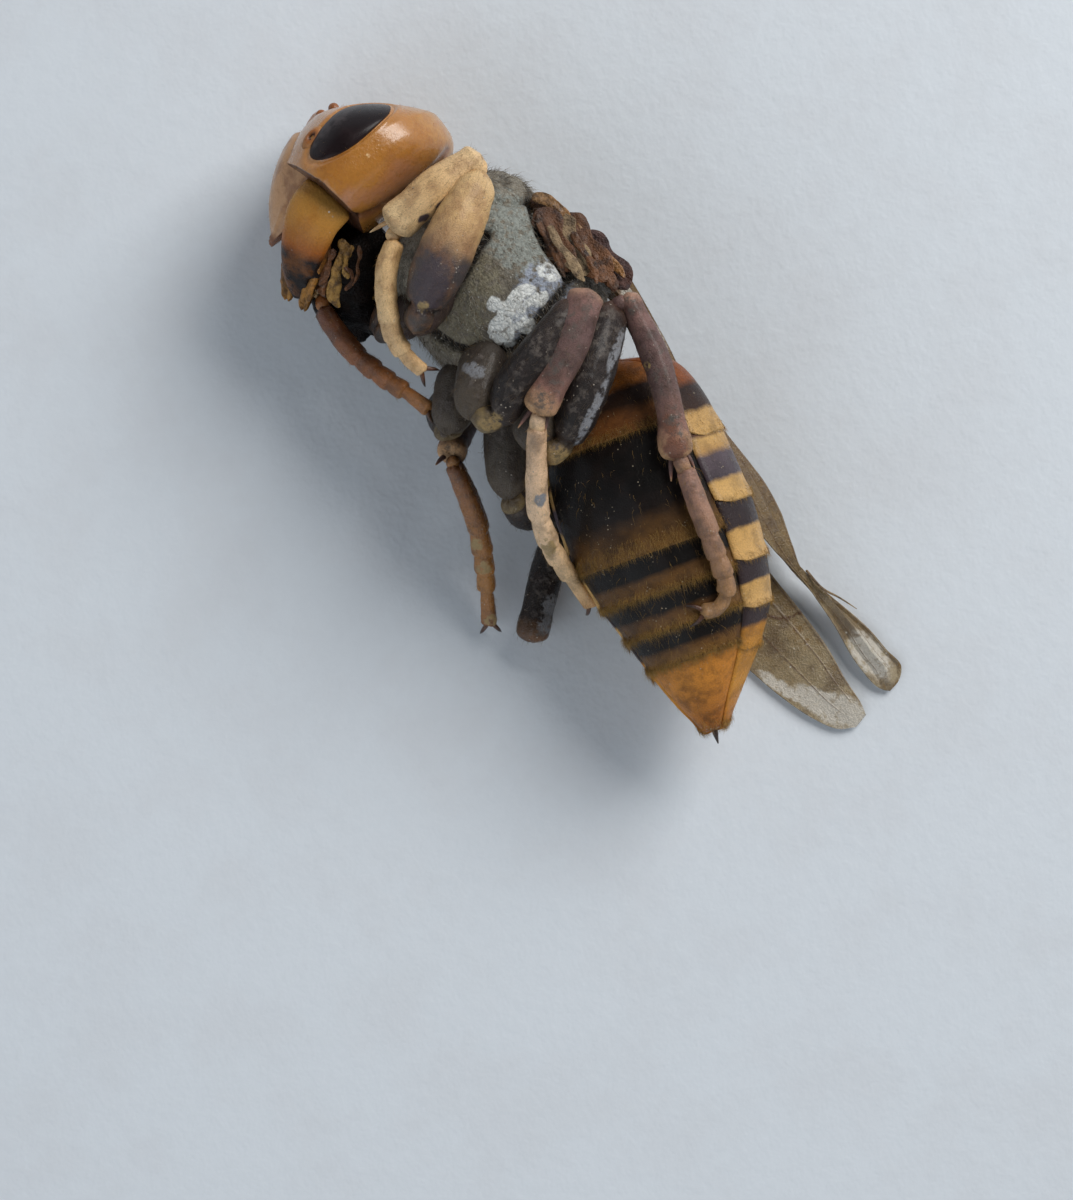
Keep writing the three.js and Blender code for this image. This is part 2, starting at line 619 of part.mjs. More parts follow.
for (const [name, { coxa, femur, tibia, tarsus }] of Object.entries(legs)) {
  const fore = name.startsWith('fore');
  const hip = ringsOf(hipRows, { radius: coxa.radius, flat: 1 });
  const thigh = [...trochanter, ...ringsOf(thighRows, femur)];
  const calf = ringsOf(shinRows, tibia);
  add(`coxa_${name}`, colours.coxa, (grow) => solid(
    limb([placed(coxa.root, trunkFrame), coxa.end], hip, { grow })));
  add(`femur_${name}`, fore ? colours.foreFemur : colours.femur, (grow) => solid(
    limb([coxa.end, ...femur.bow, femur.end], thigh, { grow, turns: 8 })));
  add(`tibia_${name}`, fore ? colours.foreTibia : colours.tibia, (grow) => shin(
    [tibia.root, ...tibia.bow, tibia.end], calf, grow, name !== noSpur));
  add(`tarsus_${name}`, colours.tarsus, (grow) => foot(tarsus, grow));
}

// wings
for (const [name, wing] of Object.entries(wings)) {
  add(name, colours.wing, (grow) => solid(blade(wing, grow)));
}

const lying = new THREE.Group();
const extent = new THREE.Box3();
for (const { name, colour, body } of nodes) {
  const { vertProperties, triVerts } = body.getMesh();
  const geometry = new THREE.BufferGeometry();
  geometry.setAttribute('position', new THREE.BufferAttribute(new Float32Array(vertProperties), 3));
  geometry.setIndex(new THREE.BufferAttribute(new Uint32Array(triVerts), 1));
  const faceted = geometry.toNonIndexed();
  faceted.computeVertexNormals();
  const surface = new THREE.MeshStandardMaterial({ color: colour, roughness: 0.45, metalness: 0 });
  const mesh = new THREE.Mesh(faceted, surface);
  mesh.name = name;
  lying.add(mesh);
  extent.expandByObject(mesh);
}

// the middle of the outline is at the origin, and the lowest flats are on the floor
const middle = extent.getCenter(new THREE.Vector3());
lying.position.set(-middle.x, -middle.y, -extent.min.z);
const hornet = new THREE.Group();
hornet.add(lying);

export default hornet;
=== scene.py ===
import math

import bpy
import numpy as np
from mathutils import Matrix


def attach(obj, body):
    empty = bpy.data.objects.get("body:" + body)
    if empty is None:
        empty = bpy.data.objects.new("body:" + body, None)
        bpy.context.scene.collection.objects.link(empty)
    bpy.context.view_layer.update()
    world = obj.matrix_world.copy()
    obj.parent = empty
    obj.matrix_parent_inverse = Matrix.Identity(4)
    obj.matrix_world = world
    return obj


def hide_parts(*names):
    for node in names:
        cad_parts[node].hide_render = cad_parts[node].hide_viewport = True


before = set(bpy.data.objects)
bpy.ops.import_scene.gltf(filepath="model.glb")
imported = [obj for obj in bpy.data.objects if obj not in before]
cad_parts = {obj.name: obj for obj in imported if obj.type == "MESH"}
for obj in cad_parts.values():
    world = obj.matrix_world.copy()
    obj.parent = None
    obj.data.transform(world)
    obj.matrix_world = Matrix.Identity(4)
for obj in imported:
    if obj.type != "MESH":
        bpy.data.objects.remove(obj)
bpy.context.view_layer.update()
print("hornet: frame loaded")

# Every size below is in millimetres. Points are in the frame that the body lies in, and adding
# place gives the row frame.
mm = 0.001
place = np.array([5.0522, 6.1974, 0.0])
photo = {"width": 1073, "height": 1200, "eye": 240.0, "focal": 4889.25,
         "turn": math.radians(148.2)}
lowest = {"skin": 0.02, "limb": 0.03}  # how near the floor a point may come
hands = {"left": 1, "right": -1}
chance = np.random.default_rng(7)


# helpers: curves, noise and photo positions

def onPhoto(points):
    # photo pixel of each point, from its place in the row frame
    x, y, z = points[..., 0] - place[0], points[..., 1] - place[1], points[..., 2]
    c, s = math.cos(photo["turn"]), math.sin(photo["turn"])
    scale = photo["focal"] / (photo["eye"] - z)
    across, along = c * x + s * y, -s * x + c * y
    return np.stack([photo["width"] / 2 + across * scale, photo["height"] / 2 - along * scale], -1)


def fromPhoto(u, v, z):
    # the point at height z that the photo shows at pixel u, v
    scale = photo["focal"] / (photo["eye"] - z)
    across, along = (u - photo["width"] / 2) / scale, (photo["height"] / 2 - v) / scale
    c, s = math.cos(photo["turn"]), math.sin(photo["turn"])
    return np.array([c * across - s * along + place[0], s * across + c * along + place[1], z])


def lattice(cell, seed):
    # a random value from -1 to 1 for each corner of the grid
    n = (cell[..., 0] * 73856093) ^ (cell[..., 1] * 19349663) ^ (cell[..., 2] * 83492791)
    n = n ^ (seed * 2654435761)
    n = (n ^ (n >> 13)) * 1274126177
    return ((n ^ (n >> 16)) & 0xFFFF) / 32767.5 - 1


def noise(points, size, seed):
    # smooth random values from -1 to 1 in lumps about this size
    p = points / size + 100.5
    cell = np.floor(p).astype(np.int64)
    f = p - cell
    f = f * f * (3 - 2 * f)
    total = 0
    for dx in (0, 1):
        for dy in (0, 1):
            for dz in (0, 1):
                weight = 1
                for axis, d in enumerate((dx, dy, dz)):
                    weight = weight * (f[..., axis] if d else 1 - f[..., axis])
                total = total + weight * lattice(cell + np.array([dx, dy, dz]), seed)
    return total


def roughness(points, size, seed):
    # three layers of noise, each half as large and half as high as the one before
    return sum(0.5 ** k * noise(points, size / 2 ** k, seed + k) for k in range(3)) / 1.75


def ramp(x, low, high):
    t = np.clip((x - low) / (high - low), 0, 1)
    return t * t * (3 - 2 * t)


def tableAt(rows, x, column):
    # a smooth curve through one column of a table whose first column is the position
    rows = np.array(sorted(rows), float)
    xs, ys = rows[:, 0], rows[:, column]
    k = np.arange(len(xs))
    before, after = np.maximum(k - 1, 0), np.minimum(k + 1, len(xs) - 1)
    slope = (ys[after] - ys[before]) / (xs[after] - xs[before])
    at = np.clip(x, xs[0], xs[-1])
    k = np.clip(np.searchsorted(xs, at, side="right") - 1, 0, len(xs) - 2)
    span = xs[k + 1] - xs[k]
    t = (at - xs[k]) / span
    rise = ys[k] + (ys[k + 1] - ys[k]) * t * t * (3 - 2 * t)
    return rise + span * (slope[k] * t * (1 - t) ** 2 - slope[k + 1] * t * t * (1 - t))


def unit(v):
    return v / np.linalg.norm(v, axis=-1, keepdims=True)


def fullTurn(count):
    return np.linspace(0, 2 * math.pi, count, endpoint=False)


def evenOut(ring):
    # each value of a closed ring becomes the mean of five
    return sum(np.roll(ring, k, 0) for k in range(-2, 3)) / 5


def nearLine(uv, line, width):
    # 1 on a line drawn on the photo, falling off over this many pixels
    best = np.full(uv.shape[:-1], 1e9)
    for a, b in zip(line[:-1], line[1:]):
        a, b = np.array(a, float), np.array(b, float)
        t = np.clip((uv - a) @ (b - a) / max((b - a) @ (b - a), 1e-9), 0, 1)
        best = np.minimum(best, np.linalg.norm(uv - a - t[..., None] * (b - a), axis=-1))
    return np.exp(-(best / width) ** 2)


def nearSpot(uv, spot):
    # 1 inside an oval on the photo: middle u, v, half sizes, turn in degrees
    u, v, wide, tall, turn = spot
    c, s = math.cos(math.radians(turn)), math.sin(math.radians(turn))
    du, dv = uv[..., 0] - u, uv[..., 1] - v
    away = np.hypot((du * c + dv * s) / wide, (dv * c - du * s) / tall)
    return 1 - ramp(away, 0.45, 1.4)


def nearSpots(uv, spots):
    return np.clip(sum(nearSpot(uv, s) for s in spots), 0, 1)


def curve(points, count):
    # the smooth line through the points, evenly spaced: positions, directions
    p = np.array(points, float)
    if len(p) == 2:
        p = np.array([p[0], (p[0] + p[1]) / 2, p[1]])
    p = np.concatenate([[2 * p[0] - p[1]], p, [2 * p[-1] - p[-2]]])
    line = []
    for a, b, c, d in zip(p[:-3], p[1:-2], p[2:-1], p[3:]):
        ta = np.linalg.norm(b - a) ** 0.5
        tb = np.linalg.norm(c - b) ** 0.5
        tc = np.linalg.norm(d - c) ** 0.5
        m0 = ((b - a) / ta - (c - a) / (ta + tb) + (c - b) / tb) * tb
        m1 = ((c - b) / tb - (d - b) / (tb + tc) + (d - c) / tc) * tb
        t = np.linspace(0, 1, 60, endpoint=False)[:, None]
        line.append((2 * t**3 - 3 * t**2 + 1) * b + (t**3 - 2 * t**2 + t) * m0
                    + (3 * t**2 - 2 * t**3) * c + (t**3 - t**2) * m1)
    line = np.concatenate([*line, [p[-2]]])
    length = np.concatenate([[0], np.cumsum(np.linalg.norm(np.diff(line, axis=0), axis=1))])
    even = np.linspace(0, length[-1], count)
    spots = np.stack([np.interp(even, length, line[:, k]) for k in range(3)], -1)
    return spots, length[-1]


def frameOf(region):
    # forward, left and back directions of a body region, and its middle
    turn = math.radians(region["roll"])
    forward = unit(np.array([*region["heading"], 0.0]))
    across = np.array([forward[1], -forward[0], 0.0])
    left = np.array([0, 0, math.cos(turn)]) + across * math.sin(turn)
    back = np.array([0, 0, -math.sin(turn)]) + across * math.cos(turn)
    return np.array([forward, left, back]), np.array(region["centre"]) + place


def inFrame(points, region):
    # from the region's own directions to the row frame
    axes, middle = frameOf(region)
    return np.asarray(points, float) @ axes + middle


def pieceName(node):
    # a node's name, written as the scene's pieces are
    first, *others = node.split("_")
    return first + "".join(word.title() for word in others)


# helpers: meshes

def gridFaces(rows, cols, closed):
    i, j = np.arange(rows - 1)[:, None], np.arange(cols if closed else cols - 1)[None, :]
    a, b = i * cols + j, i * cols + (j + 1) % cols
    return np.stack([a, b, b + cols, a + cols], -1).reshape(-1, 4)


def meshOf(name, points, faces, masks=None):
    # faces: arrays of corner numbers, three or four a face
    triangles = [np.concatenate([f[:, :3],
                                 f[:, [0, 2, 3]]]) if f.shape[1] == 4 else f for f in faces]
    triangles = np.concatenate(triangles)
    a, b, c = (points[triangles[:, k]] for k in range(3))
    if np.einsum("ij,ij->i", a, np.cross(b, c)).sum() < 0:
        faces = [f[:, ::-1] for f in faces]
    corners = np.concatenate([f.ravel() for f in faces])
    sizes = np.concatenate([np.full(len(f), f.shape[1]) for f in faces])
    mesh = bpy.data.meshes.new(name)
    mesh.vertices.add(len(points))
    mesh.vertices.foreach_set("co", (points * mm).astype(np.float32).ravel())
    mesh.loops.add(len(corners))
    mesh.loops.foreach_set("vertex_index", corners.astype(np.int32))
    mesh.polygons.add(len(sizes))
    starts = np.concatenate([[0], np.cumsum(sizes)[:-1]])
    mesh.polygons.foreach_set("loop_start", starts.astype(np.int32))
    mesh.update(calc_edges=True)
    mesh.polygons.foreach_set("use_smooth", np.ones(len(sizes), bool))
    for mask, values in (masks or {}).items():
        kept = mesh.attributes.new(mask, "FLOAT", "POINT")
        kept.data.foreach_set("value", values.astype(np.float32))
    made = bpy.data.objects.new(name, mesh)
    bpy.context.scene.collection.objects.link(made)
    return made


def outward(points, closed):
    # surface directions of a grid of points
    down = np.gradient(points, axis=0)
    if closed:
        around = np.roll(points, -1, 1) - np.roll(points, 1, 1)
    else:
        around = np.gradient(points, axis=1)
    n = np.cross(around, down)
    n /= np.maximum(np.linalg.norm(n, axis=-1, keepdims=True), 1e-9)
    middle = points.mean(1, keepdims=True) if closed else points.mean((0, 1), keepdims=True)
    return n if (n * (points - middle)).sum() > 0 else -n


skins = {}  # every skin's grid of points, directions and masks, for the hairs that grow on it


def skin(name, points, finish, nodes=(), masks=None):
    # a grid of points, closed round, as one skin with its ends drawn in to a point
    rows, cols = points.shape[:2]
    every = points.reshape(-1, 3)
    faces = [gridFaces(rows, cols, True)]
    values = {k: np.asarray(v, float).reshape(-1) for k, v in (masks or {}).items()}
    for row in (0, rows - 1):
        ring = row * cols + np.arange(cols)
        hub = np.full(cols, len(every))
        every = np.concatenate([every, points[row].mean(0)[None]])
        fan = np.stack([ring, np.roll(ring, -1), hub], -1)
        faces.append(fan if row else fan[:, ::-1])
        values = {k: np.append(v, v[ring].mean()) for k, v in values.items()}
    every[:, 2] = np.maximum(every[:, 2], lowest["skin"])
    made = meshOf(name, every, faces, values)
    skins[name] = {"points": points, "normals": outward(points, True), "masks": masks}
    return dress(made, finish, nodes)


def dress(made, finish, nodes=()):
    made.data.materials.append(finish)
    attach(made, "root")
    if nodes:
        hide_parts(*nodes)
    return made


def limbGrid(points, rings, rows, turns, side=(0, 0, 1), ends=1.0):
    # a rounded limb along a line, from rings of share, half width and half depth
    steps = 800
    spots, length = curve(points, steps)
    ease = np.linspace(0, 1, rows)
    # rows are closer at the ends
    share = 0.55 * (0.5 - 0.5 * np.cos(math.pi * ease)) + 0.45 * ease
    middle = [np.interp(share, np.linspace(0, 1, steps), spots[:, k]) for k in range(3)]
    middle = np.stack(middle, -1)
    way = unit(np.gradient(middle, axis=0))
    side = np.array(side, float)
    across = unit(side - (way @ side)[:, None] * way)
    third = np.cross(way, across)
    table = [r if len(r) == 3 else (r[0], r[1], r[1]) for r in rings]
    wide, deep = tableAt(table, share, 1), tableAt(table, share, 2)
    # distance to the nearer end, in limb radii, rounds the ends off
    near = np.minimum(share, 1 - share) * length / (np.maximum(wide, deep) * ends)
    close = np.sqrt(1 - (1 - np.clip(near, 0.02, 1)) ** 2)
    a = fullTurn(turns)[None, :, None]
    grid = middle[:, None] + across[:, None] * np.cos(a) * (wide * close)[:, None, None]
    grid = grid + third[:, None] * np.sin(a) * (deep * close)[:, None, None]
    return grid, np.repeat(share[:, None], turns, 1)


def barrelGrid(stations, xs, angles, swell=0.0):
    # a body region's surface at forward positions and angles: 0 left, 90 back
    x, a = np.broadcast_arrays(np.asarray(xs)[:, None], np.asarray(angles)[None, :])
    wide = tableAt(stations, x, 1) + swell
    tall = np.where(np.sin(a) > 0, tableAt(stations, x, 2), tableAt(stations, x, 3)) + swell
    return np.stack([x, tableAt(stations, x, 4) + wide * np.cos(a), tall * np.sin(a)], -1)


def hairs(name, look, finish):
    # short solid hairs rooted on a skin, densest where the weight is highest
    made = skins[look["on"]]
    points, normals = made["points"], made["normals"]
    rows, cols = points.shape[:2]
    down, around = np.gradient(points, axis=0), np.roll(points, -1, 1) - points
    area = np.linalg.norm(down, axis=-1) * np.linalg.norm(np.gradient(points, axis=1), axis=-1)
    weight = np.clip(look["where"](points, normals, made["masks"]), 0, 1)
    weight = (weight * area).ravel()
    picks = chance.choice(rows * cols, look["count"], p=weight / weight.sum())
    each = (len(picks), 1)
    row, col = picks // cols, picks % cols
    root = points[row, col] + down[row, col] * chance.uniform(-0.5, 0.5, each)
    root = root + around[row, col] * chance.uniform(-0.5, 0.5, each)
    normal = normals[row, col]
    comb = np.array(look["comb"], float)
    comb = comb - (normal @ comb)[:, None] * normal
    way = unit(normal * look["stand"] + comb + chance.normal(0, look["stray"], root.shape))
    length = look["length"] * chance.uniform(0.55, 1.25, each)
    side = unit(np.cross(way, chance.normal(size=root.shape)))
    other = np.cross(way, side)
    thick = look["thick"] * chance.uniform(0.7, 1.2, each)
    base = root - normal * 0.03
    droop = comb - normal * 0.3 + chance.normal(0, 0.2, root.shape)
    # a triangle at the root, a smaller one halfway up and a point at the tip
    spots = [base + side * thick, base - side * thick * 0.5 + other * thick * 0.87,
             base - side * thick * 0.5 - other * thick * 0.87]
    half = root + way * length * 0.55
    spots += [half + (s - base) * 0.6 for s in spots]
    spots.append(root + way * length + look.get("bend", 0.25) * length * droop)
    verts = np.stack(spots, 1)
    verts[..., 2] = np.maximum(verts[..., 2], lowest["skin"])
    corner = np.array([[0, 1, 2], [0, 4, 1], [0, 3, 4], [1, 5, 2], [1, 4, 5], [2, 3, 0], [2, 5, 3],
                       [3, 6, 4], [4, 6, 5], [5, 6, 3]])
    faces = (np.arange(len(picks))[:, None, None] * len(spots) + corner[None]).reshape(-1, 3)
    coat = meshOf(name, verts.reshape(-1, 3), [faces])
    # each hair gets a speck of the colour map, at the place where it grows
    order = np.empty(len(coat.data.loops), np.int32)
    coat.data.loops.foreach_get("vertex_index", order)
    speck = np.array([[0, 0], [1, 0], [0, 1], [0, 0.5], [1, 0.5], [0.5, 1], [0.5, 0.5]]) * 0.003
    spread = np.stack([col / cols, row / rows], -1)[:, None] * 0.99 + speck[None]
    spread = spread.reshape(-1, 2)[order].astype(np.float32)
    coat.data.uv_layers.new(name="OFBake").data.foreach_set("uv", spread.ravel())
    return dress(coat, finish)


# helpers: finishes

def tone(code):
    # a colour as painters write it, turned into light
    parts = [int(code[k:k + 2], 16) / 255 for k in (1, 3, 5)]
    light = [c / 12.92 if c <= 0.04045 else ((c + 0.055) / 1.055) ** 2.4 for c in parts]
    return (*light, 1.0)


def makeFinish(name, look):
    # stops: colours along the piece; mottle: a second colour in patches; layers: mask, colour,
    # roughness and raggedness of what lies on it, some layers being painted shade and highlights;
    # specks: colour, size and amount of small dots; pits: size and height of round dents or bumps
    made = bpy.data.materials.new(name)
    made.use_nodes = True
    nodes, links = made.node_tree.nodes, made.node_tree.links
    nodes.clear()

    def node(kind, values=None, **settings):
        # sockets get a number or a colour, or else a link
        n = nodes.new("ShaderNode" + kind)
        for key, value in settings.items():
            setattr(n, key, value)
        for socket, value in (values or {}).items():
            if isinstance(value, (int, float, tuple)):
                n.inputs[socket].default_value = value
            else:
                links.new(value, n.inputs[socket])
        return n

    inMm = node("Mapping", {"Scale": (1 / mm,) * 3, "Vector": node("TexCoord").outputs["Object"]})
    inMm = inMm.outputs[0]

    def cloud(size, detail=3.0):
        return node("TexNoise", {"Scale": 1 / size, "Detail": detail, "Roughness": 0.6,
                                 "Vector": inMm}).outputs["Fac"]

    def dots(size):
        return node("TexVoronoi", {"Scale": 1 / size, "Vector": inMm}).outputs["Distance"]

    def reckon(operation, a, b):
        return node("Math", {0: a, 1: b}, operation=operation).outputs[0]

    def spread(value, low, high, toLow=0.0, toHigh=1.0):
        ends = {"From Min": low, "From Max": high, "To Min": toLow, "To Max": toHigh}
        n = node("MapRange", {**ends, "Value": value}, interpolation_type="SMOOTHSTEP")
        return n.outputs["Result"]

    def mixed(factor, a, b):
        return node("Mix", {0: factor, 6: a, 7: b}, data_type="RGBA").outputs[2]

    def mixedNumber(factor, a, b):
        return node("Mix", {0: factor, 2: a, 3: b}, data_type="FLOAT").outputs[0]

    def maskNamed(mask):
        return node("Attribute", attribute_name=mask).outputs["Fac"]

    stops = look["stops"]
    colour = tone(stops[0][1])
    if len(stops) > 1:
        stray = reckon("SUBTRACT", cloud(look.get("wobbleSize", 0.6)), 0.5)
        stray = reckon("MULTIPLY", stray, look.get("wobble", 0.06))
        colours = node("ValToRGB", {0: reckon("ADD", maskNamed("share"), stray)})
        marks = colours.color_ramp.elements
        while len(marks) > 1:
            marks.remove(marks[-1])
        for k, (at, code) in enumerate(stops):
            mark = marks.new(at) if k else marks[0]
            mark.position, mark.color = at, tone(code)
        colour = colours.outputs["Color"]
    if "mottle" in look:
        shade, amount, size = look["mottle"]
        patchy = spread(cloud(size, 5.0), 0.42, 0.66, 0.0, amount)
        colour = mixed(patchy, colour, tone(shade))
    fine = spread(cloud(look.get("grain", 0.12), 2.0), 0.3, 0.75)
    rough = spread(cloud(0.5, 4.0), 0.3, 0.7, *look["rough"])
    for mask, shade, layerRough, ragged in look.get("layers", ()):
        tear = spread(cloud(0.35, 6.0), 0.3, 0.7, 1 - 0.6 * ragged, 1 + 0.4 * ragged)
        factor = spread(reckon("MULTIPLY", maskNamed(mask), tear), 0.2, 0.85)
        colour = mixed(factor, colour, tone(shade))
        rough = mixedNumber(factor, rough, layerRough)
    if "specks" in look:
        shade, size, amount = look["specks"]
        near = spread(dots(size), 0.1, 0.22, 1.0, 0.0)
        some = spread(cloud(size * 4, 2.0), 0.62 - amount * 0.2, 0.72 - amount * 0.2)
        factor = reckon("MULTIPLY", near, some)
        colour = mixed(factor, colour, tone(shade))
        rough = mixedNumber(factor, rough, 0.8)
    deepened = reckon("MULTIPLY", fine, look.get("shade", 0.18))
    colour = mixed(deepened, colour, tone(look.get("deep", "#120b08")))
    height = reckon("ADD", fine, reckon("MULTIPLY", cloud(0.45, 5.0), look.get("lumps", 1.5)))
    if "pits" in look:
        size, depth = look["pits"]
        height = reckon("ADD", height, reckon("MULTIPLY", spread(dots(size), 0.05, 0.3), depth))
    bump = node("Bump", {"Strength": look.get("bump", 0.5), "Height": height,
                         "Distance": look.get("bumpDepth", 0.03) * mm})
    shader = node("BsdfPrincipled", {
        "Base Color": colour, "Roughness": rough, "Normal": bump.outputs[0],
        "Specular IOR Level": look.get("shine", 0.4), "Coat Weight": look.get("coat", 0.0),
        "Coat Roughness": look.get("coatRough", 0.25), "Sheen Weight": look.get("sheen", 0.0),
        "Alpha": look.get("alpha", 1.0), "Subsurface Weight": look.get("glow", 0.0),
        "Subsurface Radius": (0.9, 0.45, 0.2), "Subsurface Scale": 0.6 * mm,
    })
    node("OutputMaterial", {0: shader.outputs[0]})
    return made


# camera, floor and light

view = bpy.data.cameras.new("view")
view.sensor_width = 36
view.lens = view.sensor_width * photo["focal"] / photo["height"]
view.clip_start, view.clip_end = 0.01, 5
viewer = bpy.data.objects.new("view", view)
viewer.location = (place[0] * mm, place[1] * mm, photo["eye"] * mm)
viewer.rotation_euler = (0, 0, photo["turn"])
bpy.context.scene.collection.objects.link(viewer)
bpy.context.scene.camera = viewer

light = {
    "window": {"at": (-230, -60, 210), "size": 180, "power": 0.88, "colour": (1.0, 0.98, 0.95)},
    "bounce": {"at": (180, 60, 190), "size": 240, "power": 0.2, "colour": (0.86, 0.93, 1.0)},
    "room": (0.645, 0.69, 0.745),
    "roomPower": 1.05,
    "ceiling": 0.06,  # how bright the room is overhead, against its walls
    "fade": (0.3, 0.8),  # the upward share of a direction where that change starts and ends
}
for name in ("window", "bounce"):
    lamp = bpy.data.lights.new(name, "AREA")
    lamp.size = light[name]["size"] * mm
    lamp.energy = light[name]["power"]
    lamp.color = light[name]["colour"]
    holder = bpy.data.objects.new(name, lamp)
    at = np.array(light[name]["at"], float)
    holder.location = at * mm
    tilt = math.atan2(np.hypot(at[0], at[1]), at[2])
    holder.rotation_euler = (0, tilt, math.atan2(at[1], at[0]))
    bpy.context.scene.collection.objects.link(holder)
world = bpy.data.worlds.new("room")
world.use_nodes = True
roomNodes, roomLinks = world.node_tree.nodes, world.node_tree.links
sky = roomNodes["Background"]
sky.inputs["Color"].default_value = (*light["room"], 1)
way, up, fade = (roomNodes.new("ShaderNode" + k) for k in ("TexCoord", "SeparateXYZ", "MapRange"))
fade.interpolation_type = "SMOOTHSTEP"
for socket, value in (("From Min", light["fade"][0]), ("From Max", light["fade"][1]),
                      ("To Min", light["roomPower"]),
                      ("To Max", light["roomPower"] * light["ceiling"])):
    fade.inputs[socket].default_value = value
roomLinks.new(way.outputs["Generated"], up.inputs[0])
roomLinks.new(up.outputs["Z"], fade.inputs["Value"])
roomLinks.new(fade.outputs["Result"], sky.inputs["Strength"])
bpy.context.scene.world = world
bpy.context.scene.view_settings.view_transform = "Standard"

board = {"reach": 900.0, "points": 3}
paint = makeFinish("paintedBoard", {
    "stops": [(0, "#d2d8de")], "rough": (0.55, 0.7), "mottle": ("#cdd1d6", 0.5, 6.0), "grain": 0.8,
    "shade": 0.015, "bump": 0.25, "bumpDepth": 0.05, "lumps": 1.0,
})
edge = np.linspace(-board["reach"], board["reach"], board["points"])
flat = np.stack([*np.meshgrid(edge, edge, indexing="ij"), np.zeros((board["points"],) * 2)], -1)
floor = meshOf("floor", flat.reshape(-1, 3), [gridFaces(board["points"], board["points"], False)])
if floor.data.polygons[0].normal.z < 0:
    floor.data.flip_normals()
floor.data.materials.append(paint)
print("hornet: camera, light and floor")


# trunk

trunk = {
    "centre": (-6.35, -12.6, 5.6), "heading": (0.1734, -0.9848), "roll": 40,
    # forward position, half width, height above and depth below the axis, drift to the left
    "stations": [
        (-5.6, 0.85, 1.5, 0.1, 0.7), (-4.9, 2.1, 2.3, 1.6, 0.4), (-3.9, 3.2, 3.2, 3.0, 0.15),
        (-2.6, 4.0, 4.0, 3.9, 0), (-0.8, 4.4, 4.4, 4.2, 0), (1.2, 4.5, 4.6, 4.2, 0),
        (3.0, 4.4, 4.6, 3.8, 0),
        (4.6, 4.05, 4.3, 3.1, 0), (5.7, 3.3, 3.5, 2.2, 0), (6.4, 2.2, 2.5, 1.2, 0),
    ],
    # lines on the photo: points, width in pixels, depth in millimetres
    "grooves": [
        ([(488, 199), (500, 203), (514, 205), (530, 199)], 3.0, 0.22),
        ([(486, 236), (478, 246), (470, 262), (452, 292), (432, 318)], 5.0, 0.35),
        ([(531, 199), (536, 215), (541, 232), (548, 246), (560, 262), (569, 278)], 5.0, 0.42),
        ([(430, 330), (452, 346), (478, 354), (497, 352)], 4.0, 0.3),
        ([(497, 352), (520, 345), (540, 318), (562, 292)], 5.0, 0.3),
        ([(496, 238), (516, 232), (534, 244)], 2.5, 0.08),
    ],
    "swells": [((512, 180), 22, 0.18), ((505, 225), 20, 0.15), ((485, 290), 34, 0.3),
               ((545, 285), 16, 0.12)],
    "mould": [(514, 312, 15, 26, 28), (500, 330, 14, 15, 20), (508, 343, 11, 8, 0),
              (548, 272, 15, 12, 15),
              (541, 300, 10, 8, -40), (530, 328, 9, 11, 30), (494, 303, 8, 9, 0),
              (524, 294, 14, 10, -20)],
    "bluish": [(545, 290, 30, 32, 25), (530, 318, 22, 28, 35)],
    "slate": [(505, 225, 34, 34, 0), (525, 255, 26, 24, 0), (478, 222, 14, 20, 10)],
    "olive": [(470, 290, 34, 40, 20), (455, 330, 30, 30, 0)],
    "cuts": [(4.2, 0.2, 0.22, 24), (-2.9, 0.16, 0.18, 20)],  # place, width, depth, lean
    "nose": 6.7, "length": 12.5,  # where the skin starts, and how far back it runs
    "frontRound": (6.4, 0.3), "rearRound": (-5.6, 0.2),  # where each end closes, and over how much
    "furrows": {"aside": 1.3, "width": 0.12, "depth": 0.1},
    "backSeams": [(-1.05, 0.3), (-2.95, 0.32), (-3.95, 0.28)], "backSeamWidth": 0.16,
    "scutellum": {"at": -2.0, "reach": 0.7, "high": 0.22},
    "rows": 280, "sides": 280,
}
ease = np.linspace(0, 1, trunk["rows"])
xs = 0.35 * (0.5 - 0.5 * np.cos(math.pi * ease)) + 0.65 * ease
xs = trunk["nose"] - trunk["length"] * xs
local = barrelGrid(trunk["stations"], xs, fullTurn(trunk["sides"]))
closing = np.ones(trunk["rows"])
for (end, reach), sign in ((trunk["frontRound"], 1), (trunk["rearRound"], -1)):
    past = sign * (xs - end)
    closed = np.sqrt(np.clip(1 - (past / reach) ** 2, 0.001, 1))
    closing = np.where(past > 0, closed, closing)
drift = tableAt(trunk["stations"], xs, 4)[:, None]
local[..., 1] = drift + (local[..., 1] - drift) * closing[:, None]
local[..., 2] *= closing[:, None]
points = inFrame(local, trunk)
normals = outward(points, True)
uv = onPhoto(points)
seen = ramp(normals[..., 2], 0.02, 0.25)
lift = 0.05 * roughness(points, 2.2, 3) + 0.02 * roughness(points, 0.5, 9)
for line, width, depth in trunk["grooves"]:
    lift -= depth * nearLine(uv, line, width) * seen
for (u, v), size, high in trunk["swells"]:
    lift += high * np.exp(-(np.hypot(uv[..., 0] - u, uv[..., 1] - v) / size) ** 2) * seen
# the seams between the collar, the middle and the rear plate run right round
forward, aside, high = local[..., 0], local[..., 1], local[..., 2]
for at, width, depth, lean in trunk["cuts"]:
    line = at + high * math.tan(math.radians(lean)) * math.copysign(0.35, at)
    lift -= depth * np.exp(-((forward - line) / width) ** 2) * (1 - 0.7 * seen)
